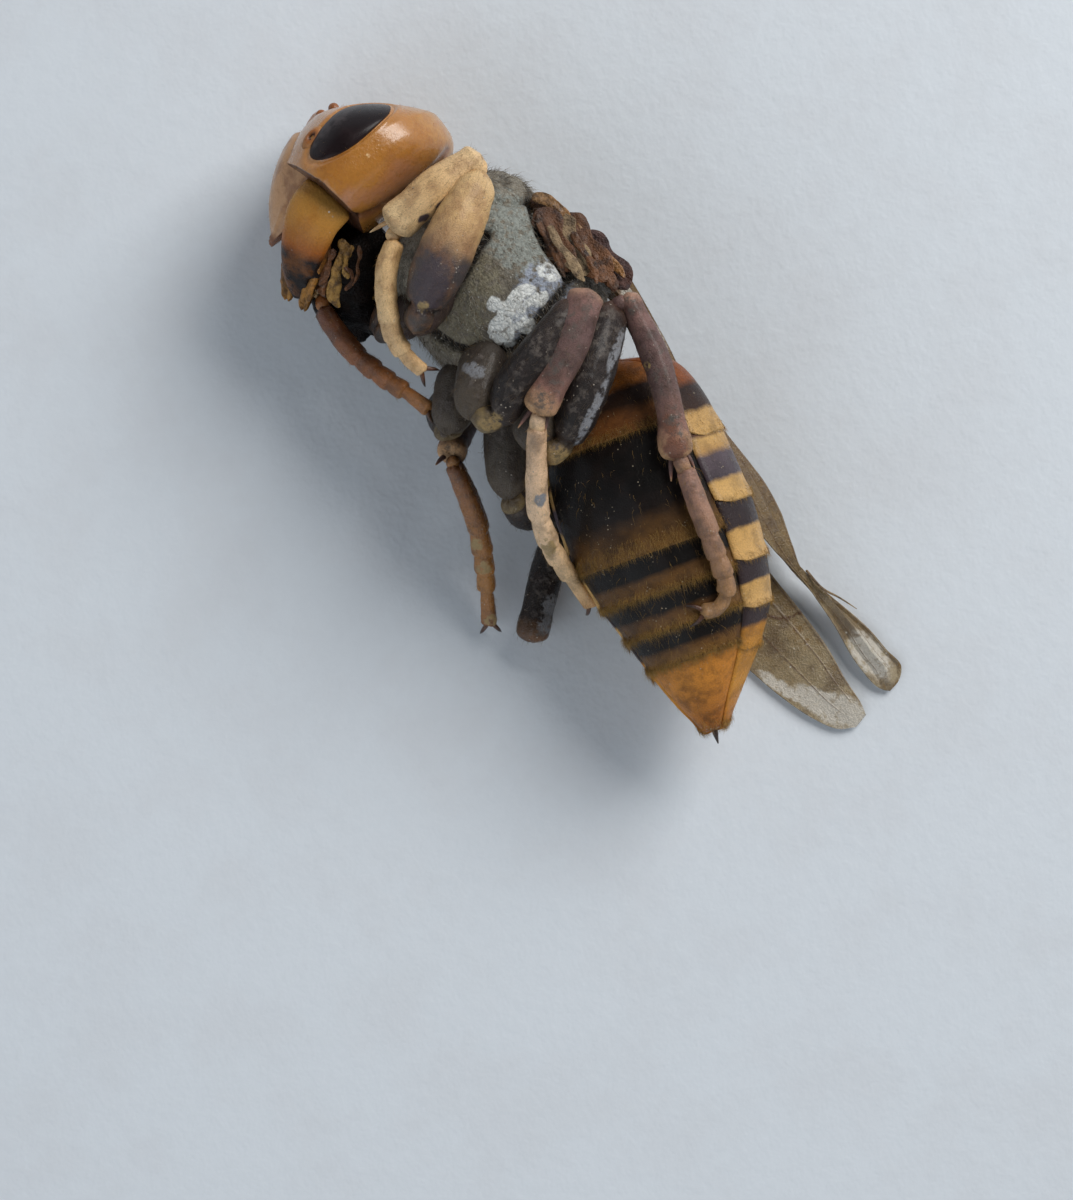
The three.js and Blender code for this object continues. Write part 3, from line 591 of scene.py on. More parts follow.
# on the back: two long furrows, the seam before the scutellum and the one behind it
onBack = ramp(high, 1.5, 3.0)
furrow = trunk["furrows"]
for y in (-furrow["aside"], furrow["aside"]):
    along = furrow["depth"] * np.exp(-((aside - y) / furrow["width"]) ** 2)
    lift -= along * onBack * ramp(forward, -0.9, -0.5)
for x, depth in trunk["backSeams"]:
    lift -= depth * np.exp(-((forward - x) / trunk["backSeamWidth"]) ** 2) * onBack
shield = trunk["scutellum"]
raised = np.exp(-((forward - shield["at"]) / shield["reach"]) ** 4)
lift += shield["high"] * onBack * raised * ramp(3 - np.abs(aside), 0, 1.2)


def onTrunk(mask):
    return nearSpots(uv, trunk[mask]) * seen


crust = onTrunk("mould") + 0.35 * roughness(points, 0.8, 21) + 0.3 * roughness(points, 0.3, 22)
cracked = ramp(np.abs(roughness(points, 0.7, 52)), 0.0, 0.14)
crust = ramp(crust, 0.35, 0.95) * (0.45 + 0.55 * cracked)
lift += crust * (0.05 + 0.05 * roughness(points, 0.25, 33))
points = points + normals * lift[..., None]
# painted shade: the deep grooves are darkened along their lines, where shade falls in them
deepGrooves = [groove for groove in trunk["grooves"] if groove[2] > 0.25]
hollow = sum(nearLine(uv, line, width * 1.5) for line, width, depth in deepGrooves) * seen
trunkMasks = {k: onTrunk(k) for k in ("bluish", "slate", "olive")}
trunkMasks.update({"share": (trunk["nose"] - forward) / trunk["length"], "mould": crust,
                   "hollow": np.clip(hollow, 0, 1)})
# the near-black layer along the deep grooves is painted shade
trunkFinish = makeFinish("dustyTrunk", {
    "stops": [(0, "#8a8274"), (0.2, "#8a8375"), (0.5, "#736c60"), (1, "#585046")], "wobble": 0.3,
    "mottle": ("#453f36", 0.8, 0.7), "rough": (0.42, 0.75), "grain": 0.14, "shade": 0.34,
    "bump": 1.0, "bumpDepth": 0.045,
    "layers": [("slate", "#8c9089", 0.45, 1.6), ("olive", "#7d7663", 0.55, 1.4),
               ("bluish", "#9aa1ae", 0.5, 1.3), ("hollow", "#1a1511", 0.85, 0.7),
               ("mould", "#dcdedb", 0.95, 0.6)], "specks": ("#b4b3ab", 0.22, 0.6), "shine": 0.2,
    "sheen": 0.08,
})
skin("thorax", points, trunkFinish,
     ("pronotum", "mesothorax", "propodeum", "scutellum", "metanotum"), trunkMasks)
print("hornet: trunk")


# abdomen

abdomen = {
    "centre": (-7.94, -7.04, 4.92), "heading": (-0.2155, -0.9765), "roll": 65,
    "stations": [
        (1.0, 0.6, 0.5, 0.6, 0.95), (0.75, 1.5, 1.4, 1.2, 1.0), (0.2, 2.7, 2.4, 2.1, 1.0),
        (-0.8, 3.5, 3.2, 2.9, 0.85),
        (-2.4, 4.2, 3.7, 3.5, 0.6), (-4.5, 4.5, 4.0, 4.0, 0.5), (-7.5, 4.6, 4.05, 4.05, 0.6),
        (-10.0, 4.2, 3.8, 3.9, 0.8), (-12.2, 3.55, 3.2, 3.4, 0.9), (-14.0, 2.65, 2.5, 2.7, 0.6),
        (-15.6, 1.65, 1.6, 1.9, 0.2), (-16.9, 0.75, 0.8, 1.0, -0.1),
        (-17.3, 0.45, 0.45, 0.6, -0.2),
    ],
    "start": 1.05,
    "overlap": 0.6,  # how far a plate reaches under the one before it
    "fold": -30,  # the angle where the back plates lie over the belly plates
    # rear edges behind the waist, and the colours along each plate from front to rear
    "backPlates": [
        (3.9, [(0, "#8a4a1c"), (0.42, "#7c421a"), (0.5, "#2b1b16"), (0.7, "#38241b"),
               (0.76, "#bb945c"), (1, "#c59d62")]),
        (7.3, [(0, "#4a342c"), (0.12, "#5a4038"), (0.17, "#c69e62"), (0.32, "#b88f58"),
               (0.4, "#564a50"),
               (0.66, "#4a4046"), (0.72, "#c79e60"), (1, "#d0a668")]),
        (10.2, [(0, "#2c2224"), (0.5, "#352a2b"), (0.56, "#c59a5a"), (1, "#cda367")]),
        (12.4, [(0, "#2c2224"), (0.52, "#352a2b"), (0.58, "#c59a5a"), (1, "#cda367")]),
        (14.2, [(0, "#2c2224"), (0.5, "#3a2e2f"), (0.6, "#bb7f32"), (1, "#bf8535")]),
        (17.4, [(0, "#c98a38"), (0.5, "#cf8f38"), (1, "#b36c28")]),
    ],
    "bellyPlates": [
        (2.6, [(0, "#7a451f"), (0.35, "#95591f"), (0.45, "#2a1a13"), (0.62, "#2d1d14"),
               (0.75, "#6d4322"), (1, "#7a4c26")]),
        (8.3, [(0, "#100c0a"), (0.5, "#080605"), (0.68, "#150e0b"), (0.78, "#4a3219"),
               (1, "#75532a")]),
        (10.2, [(0, "#0a0807"), (0.6, "#0f0c0a"), (0.7, "#5c3f20"), (1, "#73522b")]),
        (12.0, [(0, "#0a0807"), (0.6, "#0f0c0a"), (0.7, "#5f4123"), (1, "#77552b")]),
        (13.7, [(0, "#0a0807"), (0.6, "#120e0b"), (0.72, "#664624"), (1, "#805c2e")]),
        (17.3, [(0, "#bf7c30"), (0.4, "#ca8434"), (1, "#a05f24")]),
    ],
    "rows": (60, 12), "sides": 124,  # rows along a plate's length and at its edge, points across
    "thick": 0.12, "lap": 0.09,
    "core": {"front": 0.95, "rear": -17.2, "rows": 60, "sides": 64, "sunk": 0.32},
}


def plate(name, front, rear, angles, swell, colours, nodes, hairy):
    # one curved plate with a rolled rear edge, its front tucked under the plate before it
    length = front - rear
    rows, edgeRows = abdomen["rows"]
    xs = np.concatenate([np.linspace(0, 0.96, rows), np.linspace(0.966, 1.0, edgeRows)])
    sides = abdomen["sides"]
    a = np.radians(np.linspace(*angles, sides))
    side = np.minimum(np.arange(sides), np.arange(sides)[::-1])[None, :]
    # the rear corners are rounded off
    x = front - length * xs[:, None] * (1 - 0.1 * (1 - np.clip(side / 9.0, 0, 1)) ** 2)
    columns = [barrelGrid(abdomen["stations"], x[:, k], a[k:k + 1], swell) for k in range(sides)]
    grid = np.concatenate(columns, 1)
    middle = [grid[..., 0], tableAt(abdomen["stations"], grid[..., 0], 4),
              np.zeros(grid.shape[:2])]
    middle = np.stack(middle, -1)
    outwards = grid - middle
    size = np.linalg.norm(outwards, axis=-1, keepdims=True)
    along = (front - grid[..., 0]) / length
    tuck = -0.22 * (1 - ramp(along, 0.0, 0.14)) + 0.09 * ramp(along, 0.75, 0.97)
    tuck = tuck - 0.10 * ramp(along, 0.975, 1.0)
    sunk, reach = (0.34, 12.0) if hairy else (0.1, 2.5)
    tuck = tuck - sunk * (1 - np.clip(side / reach, 0, 1)) ** 2
    dents = 0.035 * roughness(grid, 2.4, len(name)) + 0.012 * roughness(grid, 0.7, 5)
    grid = middle + outwards * (1 + (tuck + dents)[..., None] / np.maximum(size, 0.4))
    # the inner face, so that the edges show their thickness
    inner = middle + (grid - middle) * (1 - abdomen["thick"] / np.maximum(size, 0.5))
    whole = np.concatenate([grid, inner[:, ::-1]], 1)
    share = np.concatenate([along, along[:, ::-1]], 1)
    outside = np.concatenate([np.ones(along.shape), np.zeros(along.shape)], 1)
    finish = makeFinish(name + "Finish", {
        "stops": colours, "wobble": 0.09, "wobbleSize": 0.9,
        "mottle": ("#1d1411", 0.5 if hairy else 0.3, 0.8),
        "rough": (0.3, 0.5) if hairy else (0.24, 0.42), "grain": 0.08, "shade": 0.25, "bump": 0.6,
        "bumpDepth": 0.03, "specks": ("#b9ab93", 0.18, 0.25), "shine": 0.12, "coat": 0.1,
        "coatRough": 0.16,
    })
    skin(name, inFrame(whole, abdomen), finish, nodes, {"share": share, "outside": outside})


fold = abdomen["fold"]
for word, angles, swell in (("back", (fold, 180 - fold), abdomen["lap"]),
                            ("belly", (-176, fold + 8), 0.0)):
    front = abdomen["start"]
    for k, (rear, colours) in enumerate(abdomen[word + "Plates"]):
        plate(f"{word}Plate{k + 1}", front, -rear, angles, swell, colours, (f"gaster_{k + 1}",),
              word == "belly")
        front = abdomen["overlap"] - rear
core = abdomen["core"]
coreGrid = barrelGrid(abdomen["stations"], np.linspace(core["front"], core["rear"], core["rows"]),
                      fullTurn(core["sides"]), -core["sunk"])
coreFinish = makeFinish("innerSkin", {
    "stops": [(0, "#1d1512")], "rough": (0.5, 0.7), "mottle": ("#3a2a20", 0.5, 1.0),
})
skin("gasterCore", inFrame(coreGrid, abdomen), coreFinish, ())

sting = {"points": [(-16.4, -0.1, 0), (-17.3, -0.2, -0.1), (-18.0, -0.2, -0.25)],
         "rings": [(0, 0.2), (0.6, 0.15), (1, 0.03)]}
stingFinish = makeFinish("stingFinish", {
    "stops": [(0, "#6a3a18"), (0.5, "#3a2014"), (1, "#1d120d")], "rough": (0.25, 0.4),
    "grain": 0.06, "coat": 0.3,
})
stingGrid, share = limbGrid(inFrame(sting["points"], abdomen), sting["rings"], 30, 16)
skin("stingSpike", stingGrid, stingFinish, ("sting",), {"share": share})
print("hornet: abdomen")


# head

skull = {
    "centre": (-3.65, -22.35, 4.98), "heading": (0.18, -0.9837), "roll": 6, "halfWidth": 5.05,
    "cheek": 0.72,
    # reach forward or back, reach up or down, and the powers that bend the curve
    "frontUpper": (3.0, 4.42, 1.6, 1.5), "frontLower": (3.0, 5.45, 1.8, 1.0),
    "rearUpper": (2.9, 4.42, 0.7, 0.62), "rearLower": (2.9, 5.45, 0.7, 1.0),
    "crownBack": 0.9,  # how far the crown's highest point lies behind the widest part
    "jaw": {"at": (-0.3, -2.35), "lean": 8},
    "seams": [
        ([(321, 186), (328, 200), (336, 210), (346, 214), (358, 217)], 3.4),
        ([(317, 182), (308, 188), (300, 197), (292, 212), (284, 228)], 2.6),
    ],
    "rim": [(359, 218), (378, 209), (400, 196), (424, 178), (440, 162), (449, 150)],
    # painted highlight: two pinkish pale patches where the cheek catches the light
    "pink": [(396, 182, 34, 22, -38), (352, 196, 26, 14, -30)],
    "amber": [(365, 170, 30, 22, -35), (330, 190, 14, 12, 0)],
    "rows": 260, "sides": 320,
}
eye = {"at": (1.0, 3.6, 0.33), "half": (1.13, 1.9, 2.6), "stand": 0.15, "sides": 140, "rows": 56}


def crownLean(z):
    # how far back the skull leans at this height
    return skull["crownBack"] * (np.clip(z, 0, None) / skull["rearUpper"][1]) ** 2


def skullSurface(polar, around):
    c, s = np.cos(around), np.sin(around)
    up = (s > 0)[..., None]
    front = np.where(up, np.array(skull["frontUpper"]), np.array(skull["frontLower"]))
    rear = np.where(up, np.array(skull["rearUpper"]), np.array(skull["rearLower"]))
    reach = np.where((c > 0)[..., None], front, rear)
    shrink = np.sin(polar) ** skull["cheek"]
    x = np.sign(c) * reach[..., 0] * np.abs(c) ** reach[..., 2] * shrink
    z = np.sign(s) * reach[..., 1] * np.abs(s) ** reach[..., 3] * shrink
    return np.stack([x - crownLean(z), np.cos(polar) * skull["halfWidth"], z], -1)


def fromEye(spots):
    # 1 on the block that cuts the eye out of the skull, less inside it
    return np.linalg.norm((spots - np.array(eye["at"])) / np.array(eye["half"]), axis=-1)


polar = np.linspace(0.01, math.pi - 0.01, skull["rows"])[:, None]
# even steps on the bent curve, or the fine parts fall apart at its corners
trial = np.linspace(0, 2 * math.pi, 4001)
ringShape = skullSurface(np.full(len(trial), math.pi / 2), trial)
travelled = np.cumsum(np.linalg.norm(np.diff(ringShape, axis=0), axis=1))
travelled = np.concatenate([[0], travelled])
evenly = np.linspace(0, travelled[-1], skull["sides"], endpoint=False)
polar, around = np.broadcast_arrays(polar, np.interp(evenly, travelled, trial)[None, :])
local = skullSurface(polar, around)
# below this plane the skull is cut short, because the jaws hang there
jaw = skull["jaw"]
lean = math.radians(jaw["lean"])
down = np.array([-math.sin(lean), 0, -math.cos(lean)])
overJaw = np.clip((local - np.array([jaw["at"][0], 0, jaw["at"][1]])) @ down, 0, None)
local = local - down * (overJaw - 0.25 * (1 - np.exp(-overJaw / 0.25)) * 0.3)[..., None]
points = inFrame(local, skull)
normals = outward(points, True)
uv = onPhoto(points)
seen = ramp(normals[..., 2], 0.0, 0.3)
lift = 0.05 * roughness(points, 3.0, 4) + 0.008 * roughness(points, 0.6, 2)
seam = np.clip(sum(nearLine(uv, line, width) for line, width in skull["seams"]), 0, 1) * seen
rim = nearLine(uv, skull["rim"], 4.0) * seen
away = fromEye(local * np.where(local[..., 1:2] < 0, np.array([1, -1, 1]), 1))
# seams, the rear rim, and a groove with a low wall round each eye
lift -= 0.16 * seam + 0.1 * rim + 0.09 * np.exp(-((away - 1.03) / 0.04) ** 2)
lift += 0.02 * np.exp(-((away - 1.13) / 0.06) ** 2)
points = points + normals * lift[..., None]
headMasks = {
    "seam": np.clip(seam + ramp(overJaw, 0.02, 0.2), 0, 1),
    "rim": np.clip(rim * 1.1, 0, 1),
    "pink": nearSpots(uv, skull["pink"]) * seen * 0.8,
    "amber": nearSpots(uv, skull["amber"]) * seen * 0.8,
    "crown": 0.75 * ramp(local[..., 2], 1.2, 4.2),
}
# the pinkish layer on the cheek is a painted highlight
headFinish = makeFinish("waxyHead", {
    "stops": [(0, "#ab7230")], "mottle": ("#8e5824", 0.6, 2.2), "rough": (0.24, 0.38),
    "grain": 0.16, "shade": 0.14, "deep": "#5a3212", "bump": 0.4, "bumpDepth": 0.025,
    "pits": (0.2, -0.6), "lumps": 1.2,
    "layers": [("crown", "#b07c38", 0.3, 0.9), ("pink", "#a9744e", 0.28, 0.6),
               ("amber", "#a8702f", 0.28, 0.7), ("rim", "#85542e", 0.4, 0.6),
               ("seam", "#44240f", 0.6, 0.3)], "specks": ("#d8b27c", 0.4, 0.1), "coat": 0.6,
    "coatRough": 0.16, "glow": 0.08,
})
skin("headShell", points, headFinish, ("head",), headMasks)

# the paler grey layer on the front of each eye is a painted sheen
eyeFinish = makeFinish("facetEye", {
    "stops": [(0, "#1a1214")], "mottle": ("#2a1f20", 0.6, 1.4), "rough": (0.26, 0.38),
    "grain": 0.05, "shade": 0.3, "bump": 0.3, "bumpDepth": 0.012, "pits": (0.07, 1.4),
    "coat": 0.16, "coatRough": 0.2, "sheen": 0.03,
    "layers": [("edge", "#3d3637", 0.42, 1.0), ("rim", "#2a1810", 0.5, 0.4)], "shine": 0.1,
})


def onSide(flat):
    # the place on the skull's side above these forward and up values, found by halving
    x, z = flat[..., 0], flat[..., 1]
    ahead = x + crownLean(z)
    kinds = (("frontUpper", (ahead > 0) & (z > 0)), ("frontLower", (ahead > 0) & (z <= 0)),
             ("rearUpper", (ahead <= 0) & (z > 0)), ("rearLower", (ahead <= 0) & (z <= 0)))
    sizes = [sum(skull[kind][k] * here for kind, here in kinds) for k in range(4)]
    reachX, reachZ, bendX, bendZ = sizes
    low, high = np.full(x.shape, 0.001), np.ones(x.shape)
    for _ in range(40):
        half = (low + high) / 2
        forward, upward = np.abs(ahead) / (reachX * half), np.abs(z) / (reachZ * half)
        over = forward ** (2 / bendX) + upward ** (2 / bendZ) > 1
        low, high = np.where(over, half, low), np.where(over, high, half)
    y = skull["halfWidth"] * np.sqrt(np.clip(1 - high ** (2 / skull["cheek"]), 0, 1))
    return np.stack([x, y, z], -1)


# the eye is the patch of the skull inside an oval block, standing a little proud of the head
turn = fullTurn(eye["sides"])
ways = np.stack([np.cos(turn), np.sin(turn)], -1)
middle = np.array([eye["at"][0], eye["at"][2]])
reach = np.linspace(0, 3.2, 321)
outside = fromEye(onSide(middle + reach[:, None, None] * ways)) > 1.0
rimAt = evenOut(reach[np.argmax(outside, axis=0)])
shares = np.concatenate([np.linspace(0.02, 0.94, eye["rows"]), [0.96, 0.975, 0.99, 1.0, 1.0]])
shares = shares[:, None]
patch = onSide(middle + (shares * rimAt)[..., None] * ways)
# the last row goes under the head's skin
stand = eye["stand"] * np.sqrt(np.clip(1.02 - shares ** 4, 0.0, 1)) - 0.06
stand[-1] -= 0.25
for side, hand in hands.items():
    local = (patch + unit(patch) * stand[..., None]) * np.array([1, hand, 1])
    # paler grey towards the front of the eye: painted sheen
    rim = np.repeat(ramp(shares, 0.86, 1.0), eye["sides"], 1) * 0.9
    skin(pieceName(f"eye_{side}"), inFrame(local, skull), eyeFinish, (f"eye_{side}",),
         {"edge": ramp(local[..., 0], 1.1, 1.9) * 0.8, "rim": rim})

# the face plate follows the skull, standing proud of it, with two rounded teeth at its lower edge
clypeus = {
    # half of the shield from the brow down, as across and up
    "outline": [(0, -0.05), (1.4, -0.3), (2.3, -0.95), (3.0, -1.75), (3.15, -2.25), (2.75, -3.0),
                (2.2, -3.75), (1.7, -4.5), (1.15, -5.3), (0.7, -5.7), (0.3, -5.55), (0, -5.2)],
    "middle": (0.0, -2.8), "proud": 0.12, "swell": 0.16, "back": -0.2, "round": 0.5,
    "sides": 160, "rows": 46, "wallRows": 8,
}
outline = clypeus["outline"] + [(-y, z) for y, z in clypeus["outline"][-2::-1]]
outline = np.array(outline, float)
steps = np.concatenate([[0], np.cumsum(np.linalg.norm(np.diff(outline, axis=0), axis=1))])
even = np.linspace(0, steps[-1], clypeus["sides"], endpoint=False)
outline = evenOut(np.stack([np.interp(even, steps, outline[:, k]) for k in range(2)], -1))
# the rows run out to the rim, and then down the wall under it
shares = np.concatenate([np.linspace(0.02, 0.97, clypeus["rows"]), [0.985, 1.0],
                         np.ones(clypeus["wallRows"])])[:, None]
wall = np.concatenate([np.zeros(clypeus["rows"] + 2), np.linspace(0.06, 1, clypeus["wallRows"])])
wall = wall[:, None]
middle = np.array(clypeus["middle"])
flat = middle + (outline[None] - middle) * shares[..., None]
r = np.sqrt(np.clip(1 - (flat[..., 0] / skull["halfWidth"]) ** 2, 0.01, 1)) ** skull["cheek"]
upper = flat[..., 1] > 0
reachZ, bend = (np.where(upper, skull["frontUpper"][k], skull["frontLower"][k]) for k in (1, 2))
s = np.clip(np.abs(flat[..., 1]) / (reachZ * r), 0, 0.995)
x = np.maximum(skull["frontUpper"][0] * np.sqrt(1 - s ** 2) ** bend * r, 0.15)
proud = clypeus["proud"] + clypeus["swell"] * (1 - shares ** 2) ** 1.2
proud = (proud - 0.14 * ramp(shares, 0.96, 1.0)) * (1 - wall)
turned = clypeus["round"] * ramp(shares, 0.5, 1.08) ** 1.5
turned = turned + (1 - turned) * wall
x = x * (1 - turned) + clypeus["back"] * turned + proud
facePlateFinish = makeFinish("facePlateFinish", {
    "stops": [(0, "#b5875a")], "mottle": ("#835530", 0.75, 0.9), "rough": (0.28, 0.42),
    "grain": 0.12, "shade": 0.12, "deep": "#5a2c0e", "bump": 0.4, "bumpDepth": 0.02,
    "pits": (0.25, -0.8), "coat": 0.2, "coatRough": 0.3, "layers": [("edge", "#6d3f1c", 0.5, 0.4)],
})
skin("facePlate", inFrame(np.stack([x, flat[..., 0], flat[..., 1]], -1), skull), facePlateFinish,
     ("clypeus",),
     {"edge": 0.8 * ramp(wall, 0.7, 1.0) + 0.9 * ramp(-flat[..., 1], 5.0, 5.6)})

mandible = {
    "points": [(-0.55, 3.0, -2.1), (-0.75, 2.9, -3.5), (-1.2, 2.45, -4.4), (-1.8, 1.75, -5.3),
               (-2.35, 1.1, -5.95), (-2.95, 0.5, -6.4)],
    "rings": [(0, 1.34, 0.5), (0.1, 1.38, 0.66), (0.25, 1.36, 0.74), (0.45, 1.22, 0.7),
              (0.7, 0.95, 0.57), (0.88, 0.6, 0.43), (1, 0.26, 0.26)],
    "teeth": [(0.72, 0.25), (0.84, 0.22), (0.94, 0.16)],  # place along the jaw, height
    "furrow": {"left": 1.7, "right": 4.6, "width": 0.12, "depth": 0.14},
    "liftRight": 0.1,  # each point of the right jaw lies this much higher than the one before
    "rows": 110, "sides": 90,
}
mandibleFinish = makeFinish("jawFinish", {
    "stops": [(0, "#8d5a24"), (0.06, "#b08340"), (0.34, "#b07a38"), (0.5, "#98561f"),
              (0.6, "#1d1615"), (1, "#0c0b0c")], "wobble": 0.1, "wobbleSize": 0.9,
    "mottle": ("#9a5c1f", 0.4, 1.0), "rough": (0.22, 0.38), "grain": 0.1, "shade": 0.15,
    "bump": 0.5, "bumpDepth": 0.03, "shine": 0.12, "coat": 0.15, "coatRough": 0.16,
    "pits": (0.3, -0.7), "specks": ("#cfc6bd", 0.3, 0.2),
})
ahead = frameOf(skull)[0][0]
turn = fullTurn(mandible["sides"])[None, :]
furrow = mandible["furrow"]
for side, hand in hands.items():
    rise = 0 if side == "left" else mandible["liftRight"]
    spots = [(x, hand * y, z + rise * k) for k, (x, y, z) in enumerate(mandible["points"])]
    grid, share = limbGrid(inFrame(spots, skull), mandible["rings"], mandible["rows"],
                           mandible["sides"], ahead, 0.35)
    teeth = sum(high * np.exp(-((share - at) / 0.035) ** 2) for at, high in mandible["teeth"])
    teeth = teeth * np.clip(-np.cos(turn), 0, 1) ** 4
    cut = np.exp(-((turn - furrow[side]) / furrow["width"]) ** 2) * ramp(share, 0.15, 0.4)
    lift = teeth - furrow["depth"] * cut + 0.02 * roughness(grid, 0.8, 6)
    skin(pieceName(f"mandible_{side}"), grid + outward(grid, True) * lift[..., None],
         mandibleFinish, (f"mandible_{side}",), {"share": share})
print("hornet: head")


def onSkin(skinName, u, v):
    # the point that the photo shows at pixel u, v on a skin, and its direction
    made = skins[skinName]
    uv = onPhoto(made["points"])
    away = np.hypot(uv[..., 0] - u, uv[..., 1] - v) + 1e3 * (made["normals"][..., 2] < 0.05)
    k = np.unravel_index(np.argmin(away), away.shape)
    return made["points"][k], made["normals"][k]


# dried limbs: folds, fine wrinkles and flat sides, each against the crumple that a limb is given
folding = {"wide": {"size": 0.9}, "fine": {"size": 0.28, "high": 0.35},
           "facets": {"count": 3, "twist": 1.5, "high": 0.7}}


def strand(name, spots, rings, finish, turns=20, rows=60, nodes=(), crumple=0.0,
           masks=None, ends=1.0):
    # a limb given in the row frame, with its surface folded and faceted
    grid, share = limbGrid(spots, rings, rows, turns, ends=ends)
    if crumple:
        wide, fine, facets = folding["wide"], folding["fine"], folding["facets"]
        folds = roughness(grid, wide["size"], len(name))
        folds = folds + fine["high"] * roughness(grid, fine["size"], len(name) + 3)
        turned = facets["count"] * fullTurn(turns)[None, :] + facets["twist"] * share[:, :1]
        folds = folds + facets["high"] * np.cos(turned)
        grid = grid + outward(grid, True) * (crumple * folds)[..., None]
        grid[..., 2] = np.maximum(grid[..., 2], lowest["limb"])
    values = {"share": share}
    for mask, build in (masks or {}).items():
        values[mask] = build(grid, outward(grid, True))
    return skin(name, grid, finish, nodes, values)


# the feelers, folded down over the cheek that isn't seen, and the one cup that shows on the face
feelers = {
    "left": {"scape": [(2.8, 0.9, 0.3), (2.95, -0.9, 0.1), (2.75, -2.6, -0.4)],
             "flagellum": [(2.65, -3.0, -0.6), (1.9, -3.9, -1.6), (0.6, -4.1, -3.2),
                           (-0.8, -3.9, -4.6), (-2.6, -3.9, -5.4)]},
    "right": {"scape": [(2.9, -0.9, 1.2), (2.6, -2.6, 1.2), (1.9, -4.0, 0.8)],
              "flagellum": [(1.7, -4.4, 0.5), (1.2, -4.75, -1.1), (0.1, -4.8, -3.0),
                            (-1.4, -4.7, -4.2), (-3.2, -4.5, -4.6)]},
    "joints": 12,
}
scapeFinish = makeFinish("scapeFinish", {
    "stops": [(0, "#8a4f20"), (0.2, "#b06a26"), (1, "#a45f22")], "rough": (0.3, 0.45),
    "mottle": ("#7c451b", 0.4, 0.8), "coat": 0.2,
})
feelerFinish = makeFinish("feelerFinish", {
    "stops": [(0, "#8a4a20"), (0.25, "#5c3018"), (1, "#3c2216")], "rough": (0.4, 0.6),
    "mottle": ("#2d1a12", 0.5, 0.7), "grain": 0.05, "shade": 0.3, "sheen": 0.2,
})
scapeRings = [(0, 0.3), (0.1, 0.27), (0.5, 0.31), (0.9, 0.38), (1, 0.3)]
feelerRings, joints = [(0, 0.2)], feelers["joints"]
for k in range(joints):
    start, end = k / joints, (k + 1) / joints
    feelerRings += [(start + 0.004, 0.235), (start + 0.03, 0.275), (end - 0.004, 0.285)]
feelerRings[-1] = (1, 0.12)
for side in hands:
    strand(pieceName(f"scape_{side}"), inFrame(feelers[side]["scape"], skull), scapeRings,
           scapeFinish, nodes=(f"scape_{side}",))
    strand(pieceName(f"flagellum_{side}"), inFrame(feelers[side]["flagellum"], skull), feelerRings,
           feelerFinish, 20, 220, (f"flagellum_{side}",))
cup = {
    "radius": 0.36, "high": 0.15, "squash": 0.6, "sides": 40,
    # from the outside in: share of the radius, share of the height
    "profile": [(2.0, -0.6), (1.7, 0.0), (1.3, 0.7), (1.0, 1.0), (0.7, 1.0), (0.5, 0.5),
                (0.3, -0.1), (0.02, -0.3)],
}
cupAt, cupWay = onSkin("headShell", 313, 137)
sideA = unit(np.cross(cupWay, (0, 0, 1.0)))
sideB = np.cross(cupWay, sideA)
a = fullTurn(cup["sides"])[:, None]
ring = (np.cos(a) * sideA + np.sin(a) * sideB * cup["squash"]) * cup["radius"]
cupGrid = np.array([cupAt + ring * r + cupWay * h * cup["high"] for r, h in cup["profile"]])
cupShare = np.repeat(np.linspace(0, 1, len(cup["profile"]))[:, None], cup["sides"], 1)
# painted shade: the cup darkens towards its sunken middle
cupFinish = makeFinish("cupFinish", {
    "stops": [(0, "#b07a3a"), (0.35, "#9b6230"), (0.62, "#84502a"), (0.8, "#241510")],
    "rough": (0.35, 0.5), "mottle": ("#6b3a1a", 0.4, 0.5),
})
skin("antennaCup", cupGrid, cupFinish, (), {"share": cupShare})

mouth = {
    "labium": ([(-1.0, 0, -4.0), (-1.6, 0, -5.4), (-2.6, 0.1, -6.8)],
               [(0, 0.9, 0.6), (0.5, 0.75, 0.5), (1, 0.3, 0.24)]),
    "maxilla": ([(-1.4, 1.5, -3.4), (-2.4, 1.5, -4.8), (-3.4, 1.3, -6.4)],
                [(0, 0.6, 0.45), (0.5, 0.55, 0.4), (1, 0.25, 0.2)]),
    # torn strips on the photo: line, height above the floor, width in pixels, finish
    "strips": [([(341, 238), (345, 250), (339, 264), (334, 280), (333, 296), (337, 309)], 6.9, 11,
                "strawStrip"),
               ([(353, 246), (348, 256), (346, 268), (350, 280)], 7.1, 7, "strawStrip"),
               ([(358, 245), (360, 260), (357, 274), (351, 286)], 7.3, 4, "rustStrip"),
               ([(330, 250), (325, 264), (322, 280), (327, 296)], 6.6, 11, "rustStrip"),
               ([(334, 246), (331, 258), (327, 272), (320, 284)], 6.9, 7, "umberStrip"),
               ([(344, 268), (352, 274), (351, 284), (343, 290)], 7.2, 5, "umberStrip")],
    # a black piece under the head, standing for the deep shadow there over a dark underside
    "throat": ([(364, 226, 5.2), (352, 256, 4.2), (352, 295, 3.5), (372, 335, 3.4)],
               [(0, 1.5), (0.3, 1.9), (0.7, 1.85), (1, 1.5)]),
}
# painted shadow: near black, for the throat and neck lying in deep shadow under the head
throatFinish = makeFinish("throatFinish", {
    "stops": [(0, "#0e0b0a")], "rough": (0.2, 0.55), "shine": 0.1, "mottle": ("#1e1510", 0.6, 0.8),
    "bump": 0.8, "bumpDepth": 0.05,
})
mouthFinish = makeFinish("mouthFinish", {
    "stops": [(0, "#3a2416"), (0.4, "#7a4f22"), (1, "#a9762f")], "wobble": 0.4,
    "mottle": ("#2a1a12", 0.7, 0.5), "rough": (0.35, 0.6), "bump": 0.8, "bumpDepth": 0.05,
})
